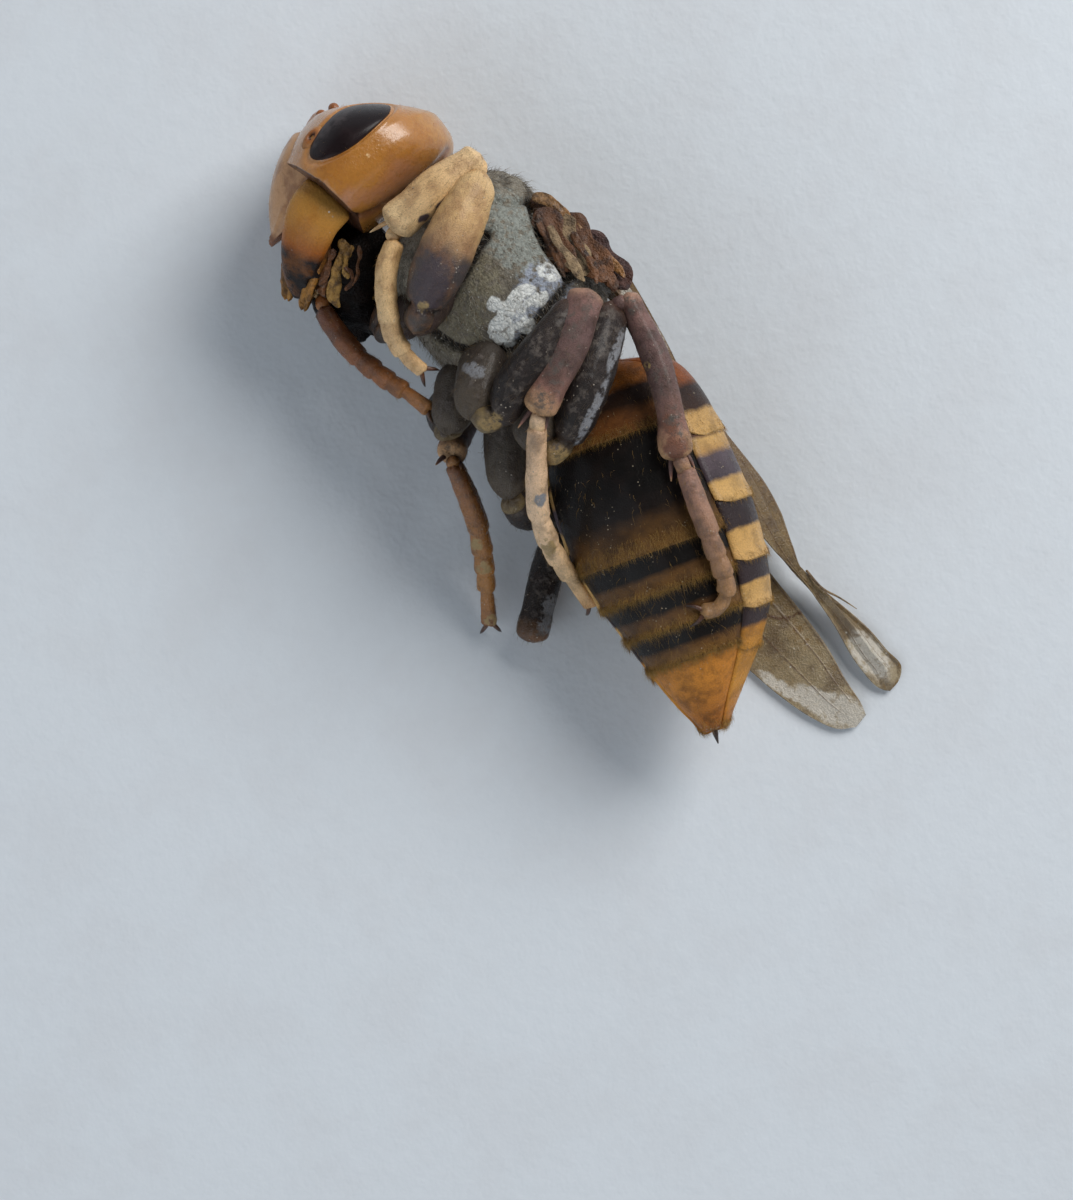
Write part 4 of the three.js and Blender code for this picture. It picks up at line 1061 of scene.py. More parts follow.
# torn skin: colour at each end, mottle, roughness, bump and its depth, and what else it has
scraps = {
    "strawStrip": ("#94703a", "#a98445", ("#3a2412", 0.85, 0.35), (0.35, 0.6), 0.7, 0.05, {}),
    "rustStrip": ("#5a3a22", "#714827", ("#1e1410", 0.85, 0.4), (0.3, 0.5), 0.7, 0.05, {}),
    "beigeStrip": ("#8a7458", "#a28a68", ("#4a3a2c", 0.8, 0.6), (0.5, 0.75), 0.9, 0.06, {}),
    "umberStrip": ("#5b3a24", "#7a4f2e", ("#2e1d17", 0.8, 0.7), (0.35, 0.6), 0.9, 0.06,
                   {"coat": 0.1}),
    "plumStrip": ("#4a302b", "#57382f", ("#2a1b1c", 0.8, 0.8), (0.35, 0.6), 0.9, 0.06,
                  {"specks": ("#a5938a", 0.3, 0.4)}),
    "orangeStrip": ("#8a6a44", "#97693a", ("#3f2a1a", 0.85, 0.4), (0.3, 0.5), 0.8, 0.05,
                    {"coat": 0.2}),
}
scrapFinishes = {}
for name, (first, last, mottle, rough, bump, depth, more) in scraps.items():
    scrapFinishes[name] = makeFinish(name, {
        "stops": [(0, first), (1, last)], "mottle": mottle, "rough": rough, "bump": bump,
        "bumpDepth": depth, **more,
    })
scrap = {"pixelsPerMm": 20.6, "rows": 90, "sides": 26, "pleats": 5,
         # share along the strip, half width against its own, half thickness
         "rings": [(0, 0.8, 0.05), (0.2, 1.2, 0.06), (0.45, 0.8, 0.05), (0.75, 1.2, 0.06),
                   (1, 0.5, 0.04)]}


def strip(name, line, high, width, finish, crumple=0.2):
    # a torn, crumpled strip that the photo shows along this line
    high = np.atleast_1d(high)
    highs = np.interp(np.linspace(0, 1, len(line)), np.linspace(0, 1, len(high)), high)
    spots = [fromPhoto(u, v, z) for (u, v), z in zip(line, highs)]
    wide = width / 2 / scrap["pixelsPerMm"]
    sideways = np.cross(spots[-1] - spots[0], (0, 0, 1.0)) + np.array([0, 0, 0.4])
    rings = [(t, wide * share, thick) for t, share, thick in scrap["rings"]]
    grid, share = limbGrid(spots, rings, scrap["rows"], scrap["sides"], sideways)
    seed = sum(map(ord, name))
    grid = grid + crumple * np.stack([roughness(grid, 0.8, seed + k) for k in range(3)], -1)
    across = (grid - np.mean(grid, 1, keepdims=True)) @ unit(sideways)
    pleats = np.sin(across / wide * scrap["pleats"] + 2 * roughness(grid, 1.2, seed + 5))
    creases = 0.4 * pleats * min(wide, 0.5) + 0.25 * roughness(grid, 0.3, seed + 7)
    grid[..., 2] = np.maximum(grid[..., 2] + crumple * creases, lowest["limb"])
    return skin(name, grid, scrapFinishes[finish], (), {"share": share})


spots, rings = mouth["labium"]
strand("labiumLip", inFrame(spots, skull), rings, mouthFinish, 24, 60, ("labium",),
       crumple=0.16)
for side, hand in hands.items():
    spots, rings = mouth["maxilla"]
    spots = [(x, hand * y, z) for x, y, z in spots]
    strand(pieceName(f"maxilla_{side}"), inFrame(spots, skull), rings, mouthFinish, 24, 60,
           (f"maxilla_{side}",), crumple=0.14)
for k, (line, high, width, finish) in enumerate(mouth["strips"]):
    strip(f"mouthStrip{k + 1}", line, high, width, finish)
# the black piece where the throat lies in deep shadow
spots, rings = mouth["throat"]
strand("throat", [fromPhoto(*spot) for spot in spots], rings, throatFinish, 40, 80, (),
       crumple=0.3)
neck = {"trunkEnd": (6.3, 0, 0.2), "headEnd": (-2.3, 0, 0.8),
        "rings": [(0, 1.2), (0.5, 0.95), (1, 1.2)]}
strand("neckSkin", [inFrame(neck["trunkEnd"], trunk), inFrame(neck["headEnd"], skull)],
       neck["rings"], throatFinish, 32, 40, ("neck",), crumple=0.1)
print("hornet: feelers and mouth")


# legs: points in the frame that the body lies in, but each hip's root in the trunk's directions
legs = {
    "fore_left": {
        "coxa": {"root": (3.0, 1.5, -2.4), "end": (-1.72, -13.73, 9.7), "radius": 1.0},
        "femur": {"bow": [(-2.8, -14.6, 10.3), (-5.3, -16.35, 10.8)], "end": (-8.4, -18.45, 10.2),
                  "radius": 1.04, "flat": 1.22},
        "tibia": {"root": (-8.8, -19.15, 9.9), "bow": [(-5.9, -18.9, 10.1)],
                  "end": (-3.4, -18.5, 9.5), "radius": 0.82, "flat": 1.15},
        "tarsus": [(-3.3, -17.95, 9.5), (-2.2, -16.92, 9.7), (-1.35, -15.5, 9.6),
                   (-0.85, -14.0, 9.15), (-0.95, -12.8, 8.65), (-1.2, -12.0, 8.3)],
        "finish": ("plumHip", "tanThigh", "tanShin", "tanFoot"),
    },
    "fore_right": {
        "coxa": {"root": (3.0, -1.5, -2.4), "end": (-0.6, -14.4, 6.2), "radius": 1.0},
        "femur": {"bow": [(-1.4, -16.2, 3.1)], "end": (-2.3, -18.4, 1.1), "radius": 0.95,
                  "flat": 1.1},
        "tibia": {"root": (-2.0, -18.7, 1.1), "bow": [(-0.2, -18.5, 2.7)],
                  "end": (1.05, -17.95, 4.5), "radius": 0.7, "flat": 1.1},
        "tarsus": [(1.4, -17.4, 4.8), (1.28, -15.2, 5.2), (0.67, -13.16, 5.6), (-0.1, -11.4, 5.9),
                   (-0.5, -10.4, 6.0)],
        "finish": ("plumHip", "tanThigh", "tanShin", "rustFoot"),
    },
    "mid_left": {
        "coxa": {"root": (-0.8, 0.9, -3.3), "end": (-1.85, -8.8, 10.1), "radius": 1.2},
        "femur": {"bow": [(-3.1, -8.3, 10.6), (-4.46, -9.11, 10.8), (-6.62, -9.93, 11.2)],
                  "end": (-8.95, -10.95, 10.8), "radius": 0.9, "flat": 1.12},
        "tibia": {"root": (-9.75, -11.1, 11.0), "bow": [(-7.3, -9.1, 11.3)],
                  "end": (-4.59, -7.35, 11.3), "radius": 0.7, "flat": 1.2, "knee": 1.25},
        "tarsus": [(-4.3, -6.9, 11.1), (-2.43, -3.78, 8.9), (-1.97, -2.14, 7.6),
                   (-1.97, -0.58, 5.8), (-2.15, 1.62, 3.6)],
        "finish": ("dustyHip", "darkThigh", "plumShin", "honeyFoot"),
    },
    "mid_right": {
        "coxa": {"root": (-0.5, -1.6, -3.0), "end": (-0.6, -8.9, 7.2), "radius": 1.15},
        "femur": {"bow": [(-1.2, -10.2, 4.1)], "end": (-3.0, -10.6, 1.1), "radius": 0.85,
                  "flat": 1.1},
        "tibia": {"root": (-2.9, -10.1, 1.0), "bow": [(-1.3, -9.0, 3.2)],
                  "end": (-0.14, -8.0, 6.0), "radius": 0.66, "flat": 1.1},
        "tarsus": [(-0.05, -7.6, 6.1), (0.36, -5.04, 4.6), (0.84, -3.65, 3.6), (1.5, -2.24, 2.4),
                   (2.57, -0.16, 1.0)],
        "finish": ("dustyHip", "darkThigh", "plumShin", "amberFoot"),
    },
    "hind_left": {
        "coxa": {"root": (-3.2, 1.2, -2.6), "end": (-3.75, -5.75, 9.5), "radius": 1.35},
        "femur": {"bow": [(-4.7, -5.6, 9.7), (-7.34, -7.34, 10.2)], "end": (-10.5, -10.0, 9.1),
                  "radius": 0.95, "flat": 1.12},
        "tibia": {"root": (-11.25, -10.05, 9.1), "bow": [(-10.6, -5.9, 9.8)],
                  "end": (-9.18, -2.1, 9.9), "radius": 0.62, "flat": 1.1, "foot": 1.2},
        "tarsus": [(-9.2, -1.6, 9.9), (-8.5, 1.9, 9.75), (-7.9, 4.3, 9.3), (-7.1, 4.85, 9.0),
                   (-6.3, 4.6, 9.1)],
        "finish": ("dustyHip", "darkThigh", "plumShin", "roseFoot"),
    },
    "hind_right": {
        "coxa": {"root": (-3.2, -1.2, -2.6), "end": (-1.4, -4.8, 6.5), "radius": 1.25},
        "femur": {"bow": [(-2.1, -3.9, 4.0)], "end": (-3.7, -3.6, 1.9), "radius": 0.9,
                  "flat": 1.1},
        "tibia": {"root": (-3.7, -3.1, 1.6), "bow": [(-1.4, -1.1, 1.7)], "end": (1.3, 1.6, 1.8),
                  "radius": 0.74, "flat": 1.1},
        "tarsus": [(0.75, 1.15, 0.5), (-1.3, -0.9, 0.45), (-2.7, -2.3, 0.45), (-3.8, -3.3, 0.45),
                   (-4.6, -4.3, 0.45)],
        "finish": ("dustyHip", "darkThigh", "blackShin", "roseFoot"),
    },
}
# segments of a foot: where each starts and ends along it, and its half width
footSegments = [(0, 0.42, 0.53), (0.42, 0.56, 0.52), (0.56, 0.68, 0.5), (0.68, 0.79, 0.47),
                (0.79, 1, 0.38)]
claw = {"length": 0.95, "thick": 0.13, "setBack": 0.25}
spur = {
    "length": 1.3, "rings": [(0, 0.14), (0.6, 0.1), (1, 0.025)], "setBack": 0.35, "sunk": 0.2,
    # how far each stands to one side, and its share of the length
    "fore": [(0.25, 1.0)], "other": [(0.25, 1.0), (-0.3, 0.7)],
    "none": "hind_right",  # there they are pressed flat under the shin
}
# spots on the photo with a colour of their own, the pale cream ones painted highlights: oval, mask
legSpots = {
    "tibia_fore_left": [((446, 202, 18, 5, -42), "plum"), ((424, 218, 8, 4, -30), "plum")],
    "femur_fore_left": [((430, 285, 20, 34, 20), "plum"), ((423, 307, 6, 7, 0), "cream")],
    "coxa_mid_left": [((474, 370, 12, 9, 20), "dust")],
    "femur_mid_left": [((490, 422, 13, 10, -20), "cream")],
    "femur_hind_left": [((616, 350, 5, 24, 20), "dust"), ((592, 412, 5, 40, 26), "dust"),
                        ((557, 455, 12, 12, 0), "cream")],
    "coxa_hind_left": [((512, 466, 18, 6, 10), "cream")],
    "tibia_hind_left": [((647, 366, 4, 5, 0), "cream"), ((676, 447, 14, 14, 0), "rose"),
                        ((670, 425, 8, 14, -20), "rose")],
    "tibia_hind_right": [((552, 606, 12, 12, 0), "dust"), ((545, 625, 9, 10, 0), "dust")],
    "tarsus_mid_left": [((541, 500, 7, 8, 0), "dust"), ((548, 548, 8, 10, 0), "cream")],
    "tarsus_mid_right": [((476, 545, 7, 7, 0), "cream"), ((484, 568, 8, 7, 0), "cream"),
                         ((492, 620, 9, 6, 0), "cream")],
}
# the pale cream layer is painted highlights
legLayers = [("plum", "#3f3338", 0.5, 0.6), ("rose", "#7d5443", 0.45, 0.6),
             ("cream", "#a08658", 0.55, 1.4),
             ("dust", "#85868a", 0.85, 1.3), ("powder", "#5f5751", 0.8, 1.7)]
legStops = {
    "plumHip": [(0, "#3a302d"), (1, "#4b3d38")],
    "dustyHip": [(0, "#3a342f"), (0.6, "#4a4239"), (1, "#5a4f42")],
    "tanThigh": [(0, "#433a33"), (0.18, "#3f3734"), (0.47, "#453d3d"), (0.56, "#a8835a"),
                 (0.7, "#cba36d"), (1, "#d8b581")],
    "tanShin": [(0, "#e6c391"), (0.5, "#e2b880"), (1, "#efcf9c")],
    "darkThigh": [(0, "#6a5a42"), (0.09, "#7d6b4a"), (0.17, "#3a302a"), (0.28, "#1f1b1a"),
                  (0.85, "#2a2321"), (1, "#4c362c")],
    "plumShin": [(0, "#ae8870"), (0.1, "#8a6860"), (0.3, "#6e5450"), (0.6, "#67504b"),
                 (0.8, "#8c665a"), (0.93, "#bb926e"), (1, "#c99f74")],
    "blackShin": [(0, "#1d1816"), (0.82, "#211a17"), (0.88, "#59402b"), (1, "#6b4a30")],
    "tanFoot": [(0, "#d8b07a"), (0.5, "#e8c38e"), (1, "#e2b985")],
    "rustFoot": [(0, "#6b3a20"), (0.35, "#8a5026"), (0.6, "#a0602c"), (1, "#a9713a")],
    "amberFoot": [(0, "#7a4a26"), (0.4, "#a0682e"), (0.7, "#a87234"), (1, "#9a6430")],
    "honeyFoot": [(0, "#dfb791"), (0.35, "#edc9a3"), (0.8, "#e8c18e"), (1, "#cc9d68")],
    "roseFoot": [(0, "#a27866"), (0.45, "#9c7458"), (1, "#b08452")],
}
shiny = {"blackShin": (0.12, 0.3), "tanShin": (0.35, 0.5), "tanThigh": (0.35, 0.5),
         "rustFoot": (0.25, 0.45),
         "amberFoot": (0.16, 0.32), "darkThigh": (0.3, 0.5)}
legFinishes = {}
for name, stops in legStops.items():
    tan = "tan" in name
    legFinishes[name] = makeFinish(name, {
        "stops": stops, "wobble": 0.14, "wobbleSize": 0.8,
        "mottle": ("#8a5c34" if tan else "#2b1f1b", 0.5, 0.9),
        "rough": shiny.get(name, (0.38, 0.62)), "grain": 0.07, "shade": 0.25, "bump": 0.7,
        "bumpDepth": 0.035, "layers": legLayers, "specks": ("#b5aa9c", 0.2, 0.35),
        "shine": 0.45 if tan or "Foot" in name else 0.2, "coat": 0.14, "coatRough": 0.22,
        "pits": (0.16, -0.4),
    })


def legMasks(key):
    # the masks of one limb, each as a function of its grid and directions
    def inSpots(spots):
        return lambda grid, normals: ramp(normals[..., 2], 0.0, 0.3) * np.max(
            [nearSpot(onPhoto(grid), spot) for spot in spots], axis=0)

    found = {}
    for spot, mask in legSpots.get(key, []):
        found.setdefault(mask, []).append(spot)
    found = {mask: inSpots(spots) for mask, spots in found.items()}
    # paler where a limb faces up, and in random patches
    if not key.startswith(("tibia_fore", "femur_fore", "tarsus")):
        found["powder"] = lambda grid, normals: (0.4 * ramp(normals[..., 2], 0.3, 1.0)
                                                 + 0.35 * roughness(grid, 0.9, 12))
    return found


def endWay(spots):
    # at the end of a line of points: onward, as far up as can be, and to one side
    way = unit(spots[-1] - spots[-2])
    up = unit(np.array([0, 0, 1.0]) - way[2] * way)
    return way, up, np.cross(way, up)


def hook(name, root, way, outSide, downSide, length, thick, finish):
    spots = [root, root + way * length * 0.55 + outSide * length * 0.4,
             root + way * length * 0.95 + outSide * length * 0.55 - downSide * length * 0.35]
    rings = [(0, thick), (0.5, thick * 0.75), (1, thick * 0.16)]
    strand(name, spots, rings, finish, 12, 24, ())


def ringsOf(rows, part):
    flat = part.get("flat", 1)
    return [(t, share * part["radius"], share * part["radius"] * flat) for t, share in rows]


def between(spots, share):
    # a point a little before the last of these
    return spots[-1] * (1 - share) + spots[-2] * share


clawFinish = makeFinish("clawFinish", {
    "stops": [(0, "#6a3c1c"), (0.6, "#3a2114"), (1, "#1d120d")], "rough": (0.2, 0.35), "coat": 0.3,
    "grain": 0.05,
})
hipRows = [(0, 0.9), (0.35, 1.02), (0.7, 0.9), (0.9, 0.7), (1, 0.5)]
trochanter = [(0, 0.44, 0.5), (0.05, 0.58, 0.68), (0.12, 0.56, 0.64), (0.165, 0.46, 0.52)]
thighRows = [(0.2, 0.74), (0.38, 1.0), (0.65, 0.98), (0.88, 0.82), (0.97, 0.68), (1, 0.5)]
for name, leg in legs.items():
    fore = name.startswith("fore")
    coxa, femur, tibia = leg["coxa"], leg["femur"], leg["tibia"]
    hipFinish, thighFinish, shinFinish, footFinish = (legFinishes[k] for k in leg["finish"])

    def limb(part, spots, rings, finish, turns, rows, crumple, ends=1.0):
        node = f"{part}_{name}"
        strand(pieceName(node), spots, rings, finish, turns, rows, (node,), crumple,
               legMasks(node), ends)

    def joint(part, start, end, ends, middle, finish):
        # skin in a knee or an ankle, which shows in the gaps between the plates
        strand(pieceName(f"{part}_{name}"), [start, end], [(0, ends), (0.5, middle), (1, ends)],
               finish, 24, 24, (), crumple=0.04)

    hip = [inFrame(coxa["root"], trunk), np.array(coxa["end"]) + place]
    limb("coxa", hip, ringsOf(hipRows, coxa), hipFinish, 56, 90, 0.06)
    thigh = [hip[-1]] + [np.array(p) + place for p in [*femur["bow"], femur["end"]]]
    limb("femur", thigh, trochanter + ringsOf(thighRows, femur), thighFinish, 52, 130,
         0.07)
    shin = [np.array(p) + place for p in [tibia["root"], *tibia["bow"], tibia["end"]]]
    knee, ankle = tibia.get("knee", 1.0), tibia.get("foot", 1.0)
    shinRows = [(0, 0.62 * knee), (0.05, 0.8 * knee), (0.12, 0.8 * knee), (0.4, 0.5 + 0.5 * knee),
                (0.75, 0.96), (0.92, ankle), (1, 0.82 * ankle)]
    limb("tibia", shin, ringsOf(shinRows, tibia), shinFinish, 48, 120, 0.05, 0.5)
    foot = [np.array(p) + place for p in leg["tarsus"]]
    joint("knee", between(thigh, 0.07), between(shin[1::-1], 0.07), 0.36, 0.42, shinFinish)
    joint("ankle", between(shin, 0.06), between(foot[1::-1], 0.1), 0.34, 0.38, footFinish)
    way, up, aside = endWay(shin)
    spurs = [] if name == spur["none"] else spur["fore" if fore else "other"]
    for k, (far, longer) in enumerate(spurs):
        root = shin[-1] - way * spur["setBack"] + aside * far - up * spur["sunk"]
        spots = [root, root + way * 0.6 * longer + aside * far * 0.7,
                 root + way * spur["length"] * longer + aside * far * 1.2]
        strand(pieceName(f"spur_{name}") + str(k + 1), spots, spur["rings"], shinFinish, 12, 24,
               ())
    pinch = 0.94 if name == "fore_left" else 0.84  # how narrow the foot is between its segments
    rings = []
    for start, end, wide in footSegments:
        rings += [(start + 0.004, wide * pinch),
                  (start + (end - start) * 0.3, wide * (0.5 + pinch / 2)),
                  (end - 0.02, wide), (end - 0.002, wide * (0.4 + pinch * 0.6))]
    limb("tarsus", foot, rings, footFinish, 36, 260, 0.05, 0.6)
    way, up, aside = endWay(foot)
    for k, hand in enumerate((-1, 1)):
        hook(pieceName(f"claw_{name}") + str(k + 1), foot[-1] - way * claw["setBack"], way,
             aside * hand, up, claw["length"], claw["thick"], clawFinish)
print("hornet: legs")


# wings: the two edges of each on the photo, as pixel and height above the floor

wings = {
    "forewing_left": {
        "outer": [(566, 216, 7.0), (592, 238, 6.6), (616, 258, 6.2), (634, 285, 5.6),
                  (662, 335, 4.2), (690, 385, 3.4), (727, 435, 2.5),
                  (757, 472, 2.0), (780, 510, 1.6), (792, 545, 1.3), (801, 568, 1.0),
                  (812, 581, 0.7), (828, 594, 0.6),
                  (850, 612, 0.45), (870, 630, 0.4), (887, 650, 0.35), (901, 665, 0.3),
                  (899, 680, 0.3), (890, 691, 0.3)],
        "inner": [(556, 226, 7.6), (578, 252, 7.6), (600, 272, 7.2), (622, 300, 6.6),
                  (650, 348, 5.8), (676, 394, 5.2), (704, 440, 4.7),
                  (732, 480, 4.1), (751, 520, 3.4), (772, 548, 2.8), (793, 570, 1.9),
                  (807, 586, 1.4), (820, 604, 1.2),
                  (837, 630, 0.9), (852, 657, 0.7), (868, 678, 0.5), (876, 686, 0.4),
                  (884, 690, 0.3)],
        "pleats": 1.6, "deep": 0.2, "veins": (0.03, 0.3, 0.62, 0.96), "thick": 0.07,
        "wander": 0.08,
        "silver": [(870, 655, 30, 16, 52), (640, 310, 5, 50, -35)],
    },
    "hindwing_left": {
        "outer": [(583, 250, 5.2), (622, 288, 4.6), (650, 335, 3.9), (674, 376, 3.5),
                  (708, 430, 2.8), (748, 505, 1.6)],
        "inner": [(570, 262, 4.4), (610, 300, 3.6), (640, 352, 2.8), (660, 388, 2.2),
                  (698, 450, 1.5), (744, 520, 1.1)],
        "pleats": 1.3, "deep": 0.14, "veins": (0.05, 0.5, 0.95), "thick": 0.06, "wander": 0.06,
    },
    "forewing_right": {
        "outer": [(482, 291, 0.34), (569, 328, 0.34), (660, 428, 0.34), (727, 512, 0.36),
                  (762, 562, 0.36), (800, 610, 0.36),
                  (826, 645, 0.36), (846, 680, 0.36), (861, 703, 0.34), (866, 715, 0.3)],
        "inner": [(474, 305, 0.34), (519, 359, 0.34), (592, 469, 0.34), (657, 573, 0.34),
                  (706, 634, 0.34), (747, 668, 0.34),
                  (776, 693, 0.34), (812, 718, 0.34), (838, 729, 0.32), (856, 727, 0.3)],
        "pleats": 0.9, "deep": 0.06, "veins": (0.02, 0.2, 0.55), "thick": 0.06, "wander": 0.03,
        "silver": [(842, 712, 30, 18, 22), (780, 686, 28, 7, 33), (815, 700, 26, 12, 30)],
        "arc": [(756, 606), (766, 615), (780, 619), (794, 616), (802, 611)],
    },
    "hindwing_right": {
        "outer": [(520, 352, 1.1), (595, 375, 1.1), (650, 440, 1.08), (702, 520, 1.06),
                  (735, 588, 1.06)],
        "inner": [(518, 362, 1.1), (578, 392, 1.1), (622, 462, 1.08), (680, 538, 1.06),
                  (726, 594, 1.06)],
        "pleats": 1, "deep": 0.06, "veins": (0.05, 0.4, 0.8), "thick": 0.06, "wander": 0.03,
    },
}
wingMesh = {"rows": 220, "sides": 96}
# the pale silvery layer is painted sheen and light through the membrane
wingFinish = makeFinish("wingSkin", {
    "stops": [(0, "#64492c"), (0.4, "#6c5233"), (0.7, "#85704c"), (1, "#a59678")], "wobble": 0.25,
    "mottle": ("#4f3823", 0.6, 1.1), "rough": (0.2, 0.4), "grain": 0.1, "shade": 0.22, "bump": 0.7,
    "bumpDepth": 0.04, "coat": 0.3, "coatRough": 0.25, "alpha": 0.9,
    # the pale layer on the pleats is painted light
    "layers": [("pale", "#80663c", 0.3, 1.1), ("silver", "#c6bfb2", 0.35, 0.9),
               ("vein", "#5a3d24", 0.35, 0.6)], "specks": ("#cfc8ba", 0.3, 0.2),
})
across = np.linspace(0, 1, wingMesh["sides"])[None, :]
share = np.repeat(np.linspace(0, 1, wingMesh["rows"])[:, None], wingMesh["sides"], 1)


def strayAlong(size, seed):
    # a random value that changes only along the wing
    return noise(np.stack([share * size, share * 0, share * 0], -1), 1.0, seed)


for name, wing in wings.items():
    outer, inner = (curve([fromPhoto(*spot) for spot in wing[k]], wingMesh["rows"])[0][:, None]
                    for k in ("outer", "inner"))
    sheet = outer + (inner - outer) * across[..., None]
    uv = onPhoto(sheet)
    normal = outward(sheet, False)
    fade = np.sin(math.pi * np.clip(across, 0, 1)) ** 0.5 * ramp(1 - share, 0, 0.06)
    phase = across * wing["pleats"] * 2 * math.pi + 1.2 * strayAlong(9, 4)
    fold = wing["deep"] * np.arcsin(np.sin(phase)) / 1.57 * fade
    fold = fold + 0.09 * roughness(sheet, 1.1, 8) * (0.4 + 0.6 * np.sin(math.pi * across))
    vein = 0
    for at in wing["veins"]:
        line = at + wing["wander"] * strayAlong(6, 11) * (0.5 + at)
        vein = vein + 0.75 * np.exp(-((across - line) / 0.013) ** 2)
    if "arc" in wing:
        vein = vein + nearLine(uv, wing["arc"], 1.6)
    vein = np.clip(vein, 0, 1) * ramp(1.02 - share, 0, 0.1)
    # painted sheen: pale silvery patches where the wing shines and lets light through
    silver = nearSpots(uv, wing["silver"]) if "silver" in wing else share * 0
    # painted light on the folds: one face of each pleat is paler, with random paler patches
    pale = 0.5 * np.clip(np.sin(phase + 0.8), 0, 1) + 0.4 * roughness(sheet, 1.5, 31)
    half = wing["thick"] / 2 * (1 - 0.5 * np.abs(2 * across - 1)) + 0.03 * vein
    top = sheet + normal * (fold + half)[..., None]
    under = sheet + normal * (fold - half)[..., None]
    whole = np.concatenate([top, under[:, ::-1]], 1)
    whole[..., 2] = np.maximum(whole[..., 2], lowest["limb"])
    masks = {"share": share, "vein": vein, "silver": silver, "pale": pale}
    masks = {k: np.concatenate([v, v[:, ::-1]], 1) for k, v in masks.items()}
    skin(pieceName(name), whole, wingFinish, (name,), masks)
looseVein = [(806, 570, 1.4), (822, 588, 1.3), (840, 598, 1.2), (857, 609, 1.0)]
strand("looseVein", [fromPhoto(*spot) for spot in looseVein], [(0, 0.07), (0.5, 0.06), (1, 0.02)],
       scrapFinishes["beigeStrip"], 10, 40, ())

# the torn wing roots: lines on the photo, heights, widths in pixels, finishes
wingRoots = [
    ([(531, 199), (545, 200), (558, 207), (568, 222), (575, 236)], (7.7, 8.0, 7.4), 11,
     "orangeStrip"),
    ([(541, 208), (549, 224), (555, 240), (562, 256), (571, 272)], (8.2, 8.7, 8.9), 24,
     "umberStrip"),
    ([(554, 212), (563, 228), (571, 244), (578, 260), (584, 276)], (7.9, 8.5, 9.0), 26,
     "beigeStrip"),
    ([(563, 214), (577, 234), (589, 252), (598, 268), (604, 282)], (7.5, 8.2, 8.8), 28,
     "umberStrip"),
    ([(537, 216), (545, 236), (555, 254), (566, 276)], (8.5, 9.0, 9.3), 6, "rustStrip"),
    ([(580, 234), (596, 248), (609, 262), (620, 277), (628, 290)], (7.1, 7.6, 8.3), 26,
     "plumStrip"),
    ([(566, 218), (581, 232), (597, 246), (612, 262), (624, 278)], (7.6, 7.9, 8.3), 7,
     "orangeStrip"),
    ([(549, 226), (560, 244), (571, 260), (584, 282)], (9.0, 9.4, 9.6), 8, "beigeStrip"),
    ([(572, 232), (583, 250), (592, 266), (598, 284)], (8.6, 9.1, 9.4), 7, "rustStrip"),
    ([(590, 246), (601, 262), (609, 278), (614, 292)], (8.1, 8.5, 8.8), 12, "umberStrip"),
]
for k, (line, high, width, finish) in enumerate(wingRoots):
    strip(f"wingRoot{k + 1}", line, high, width, finish, 0.15)
tegula = {"at": (2.05, 3.82, 2.25), "half": (1.05, 0.62, 0.66), "rows": 50, "sides": 60}
for side, hand in hands.items():
    p, a = np.broadcast_arrays(np.linspace(0.03, math.pi - 0.03, tegula["rows"])[:, None],
                               fullTurn(tegula["sides"])[None, :])
    ball = np.stack([np.cos(p), np.sin(p) * np.cos(a), np.sin(p) * np.sin(a)], -1)
    ball = ball * np.array(tegula["half"])
    ball = ball * (1 + 0.12 * roughness(ball, 0.6, 5))[..., None]
    ball = ball + np.array(tegula["at"]) * np.array([1, hand, 1])
    skin(pieceName(f"tegula_{side}"), inFrame(ball, trunk), scrapFinishes["umberStrip"],
         (f"tegula_{side}",), {"share": p / math.pi})
print("hornet: wings")


# hair: where it grows, how many, how long and thick, and the way it is combed
headWay, trunkWay, abdomenWay = (-frameOf(part)[0][0] for part in (skull, trunk, abdomen))


def onTop(points, normals, masks):
    return 0.25 + ramp(normals[..., 2], -0.3, 0.4)


def offMould(points, normals, masks):
    return onTop(points, normals, masks) * (1 - 0.9 * masks["mould"]) * (1 - 0.7 * masks["slate"])


def rearEdge(points, normals, masks):
    return masks["outside"] * (0.015 + ramp(masks["share"], 0.8, 0.93)) * (masks["share"] < 0.985)


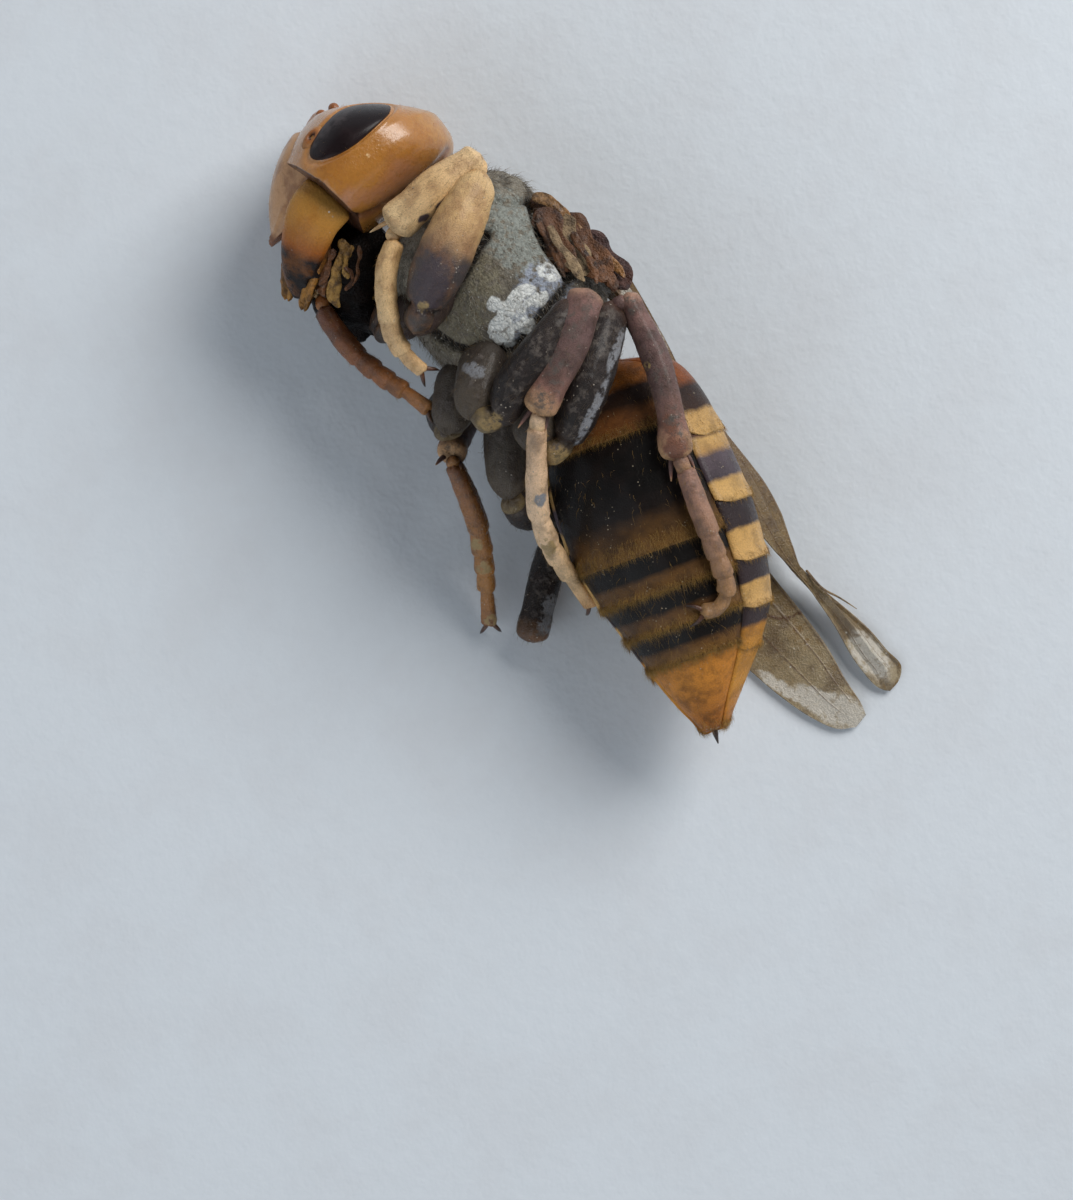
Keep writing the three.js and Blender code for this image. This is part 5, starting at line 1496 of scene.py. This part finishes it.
coats = {
    "thoraxHair": {"on": "thorax", "count": 5200, "comb": trunkWay, "length": 0.42, "thick": 0.009,
                   "stand": 0.45, "stray": 0.4, "finish": "hazelHair", "where": offMould},
    "thoraxDown": {"on": "thorax", "count": 2400, "comb": trunkWay, "length": 0.7, "thick": 0.009,
                   "stand": 0.7, "stray": 0.6, "bend": 0.5, "finish": "paleHair", "where": onTop},
    "headHair": {"on": "headShell", "count": 260, "comb": headWay, "length": 0.2, "thick": 0.006,
                 "stand": 0.9, "stray": 0.3, "finish": "goldHair", "where": onTop},
    "faceHair": {"on": "facePlate", "count": 160, "comb": (0, 0, -1.0), "length": 0.2,
                 "thick": 0.006, "stand": 0.8, "stray": 0.3, "finish": "goldHair", "where": onTop},
}
fringe = {"comb": abdomenWay, "thick": 0.007, "finish": "goldHair", "where": rearEdge}
for k in range(6):
    coats[f"backFringe{k + 1}"] = {
        **fringe, "on": f"backPlate{k + 1}", "count": 700, "length": 0.34, "stand": 0.25,
        "stray": 0.25}
    coats[f"bellyFringe{k + 1}"] = {
        **fringe, "on": f"bellyPlate{k + 1}", "count": 1600 if k < 5 else 200, "length": 0.42,
        "stand": 0.3, "stray": 0.4, "bend": 0.4}
legCoats = {"coxa": (320, 0.4), "femur": (300, 0.32), "tibia": (360, 0.34), "tarsus": (420, 0.22)}
for name in legs:
    for part, (count, length) in legCoats.items():
        rows = skins[pieceName(f"{part}_{name}")]["points"]
        coats[pieceName(f"{part}_hair_{name}")] = {
            "on": pieceName(f"{part}_{name}"), "count": count, "length": length, "thick": 0.007,
            "comb": unit(rows[-1].mean(0) - rows[0].mean(0)), "stand": 0.4, "stray": 0.3,
            "finish": "goldHair" if part == "tarsus" else "hazelHair", "where": onTop}
hairLooks = {"hazelHair": ("#6f5a3c", ("#3b2c1e", 0.6, 0.8), (0.35, 0.5)),
             "goldHair": ("#a8823f", ("#6a4a22", 0.5, 0.8), (0.35, 0.5)),
             "paleHair": ("#a9a397", ("#7d7464", 0.6, 0.8), (0.4, 0.6))}
hairFinishes = {name: makeFinish(name, {"stops": [(0, colour)], "mottle": mottle, "rough": rough})
                for name, (colour, mottle, rough) in hairLooks.items()}
for name, coat in coats.items():
    hairs(name, coat, hairFinishes[coat["finish"]])
print("hornet: hair")
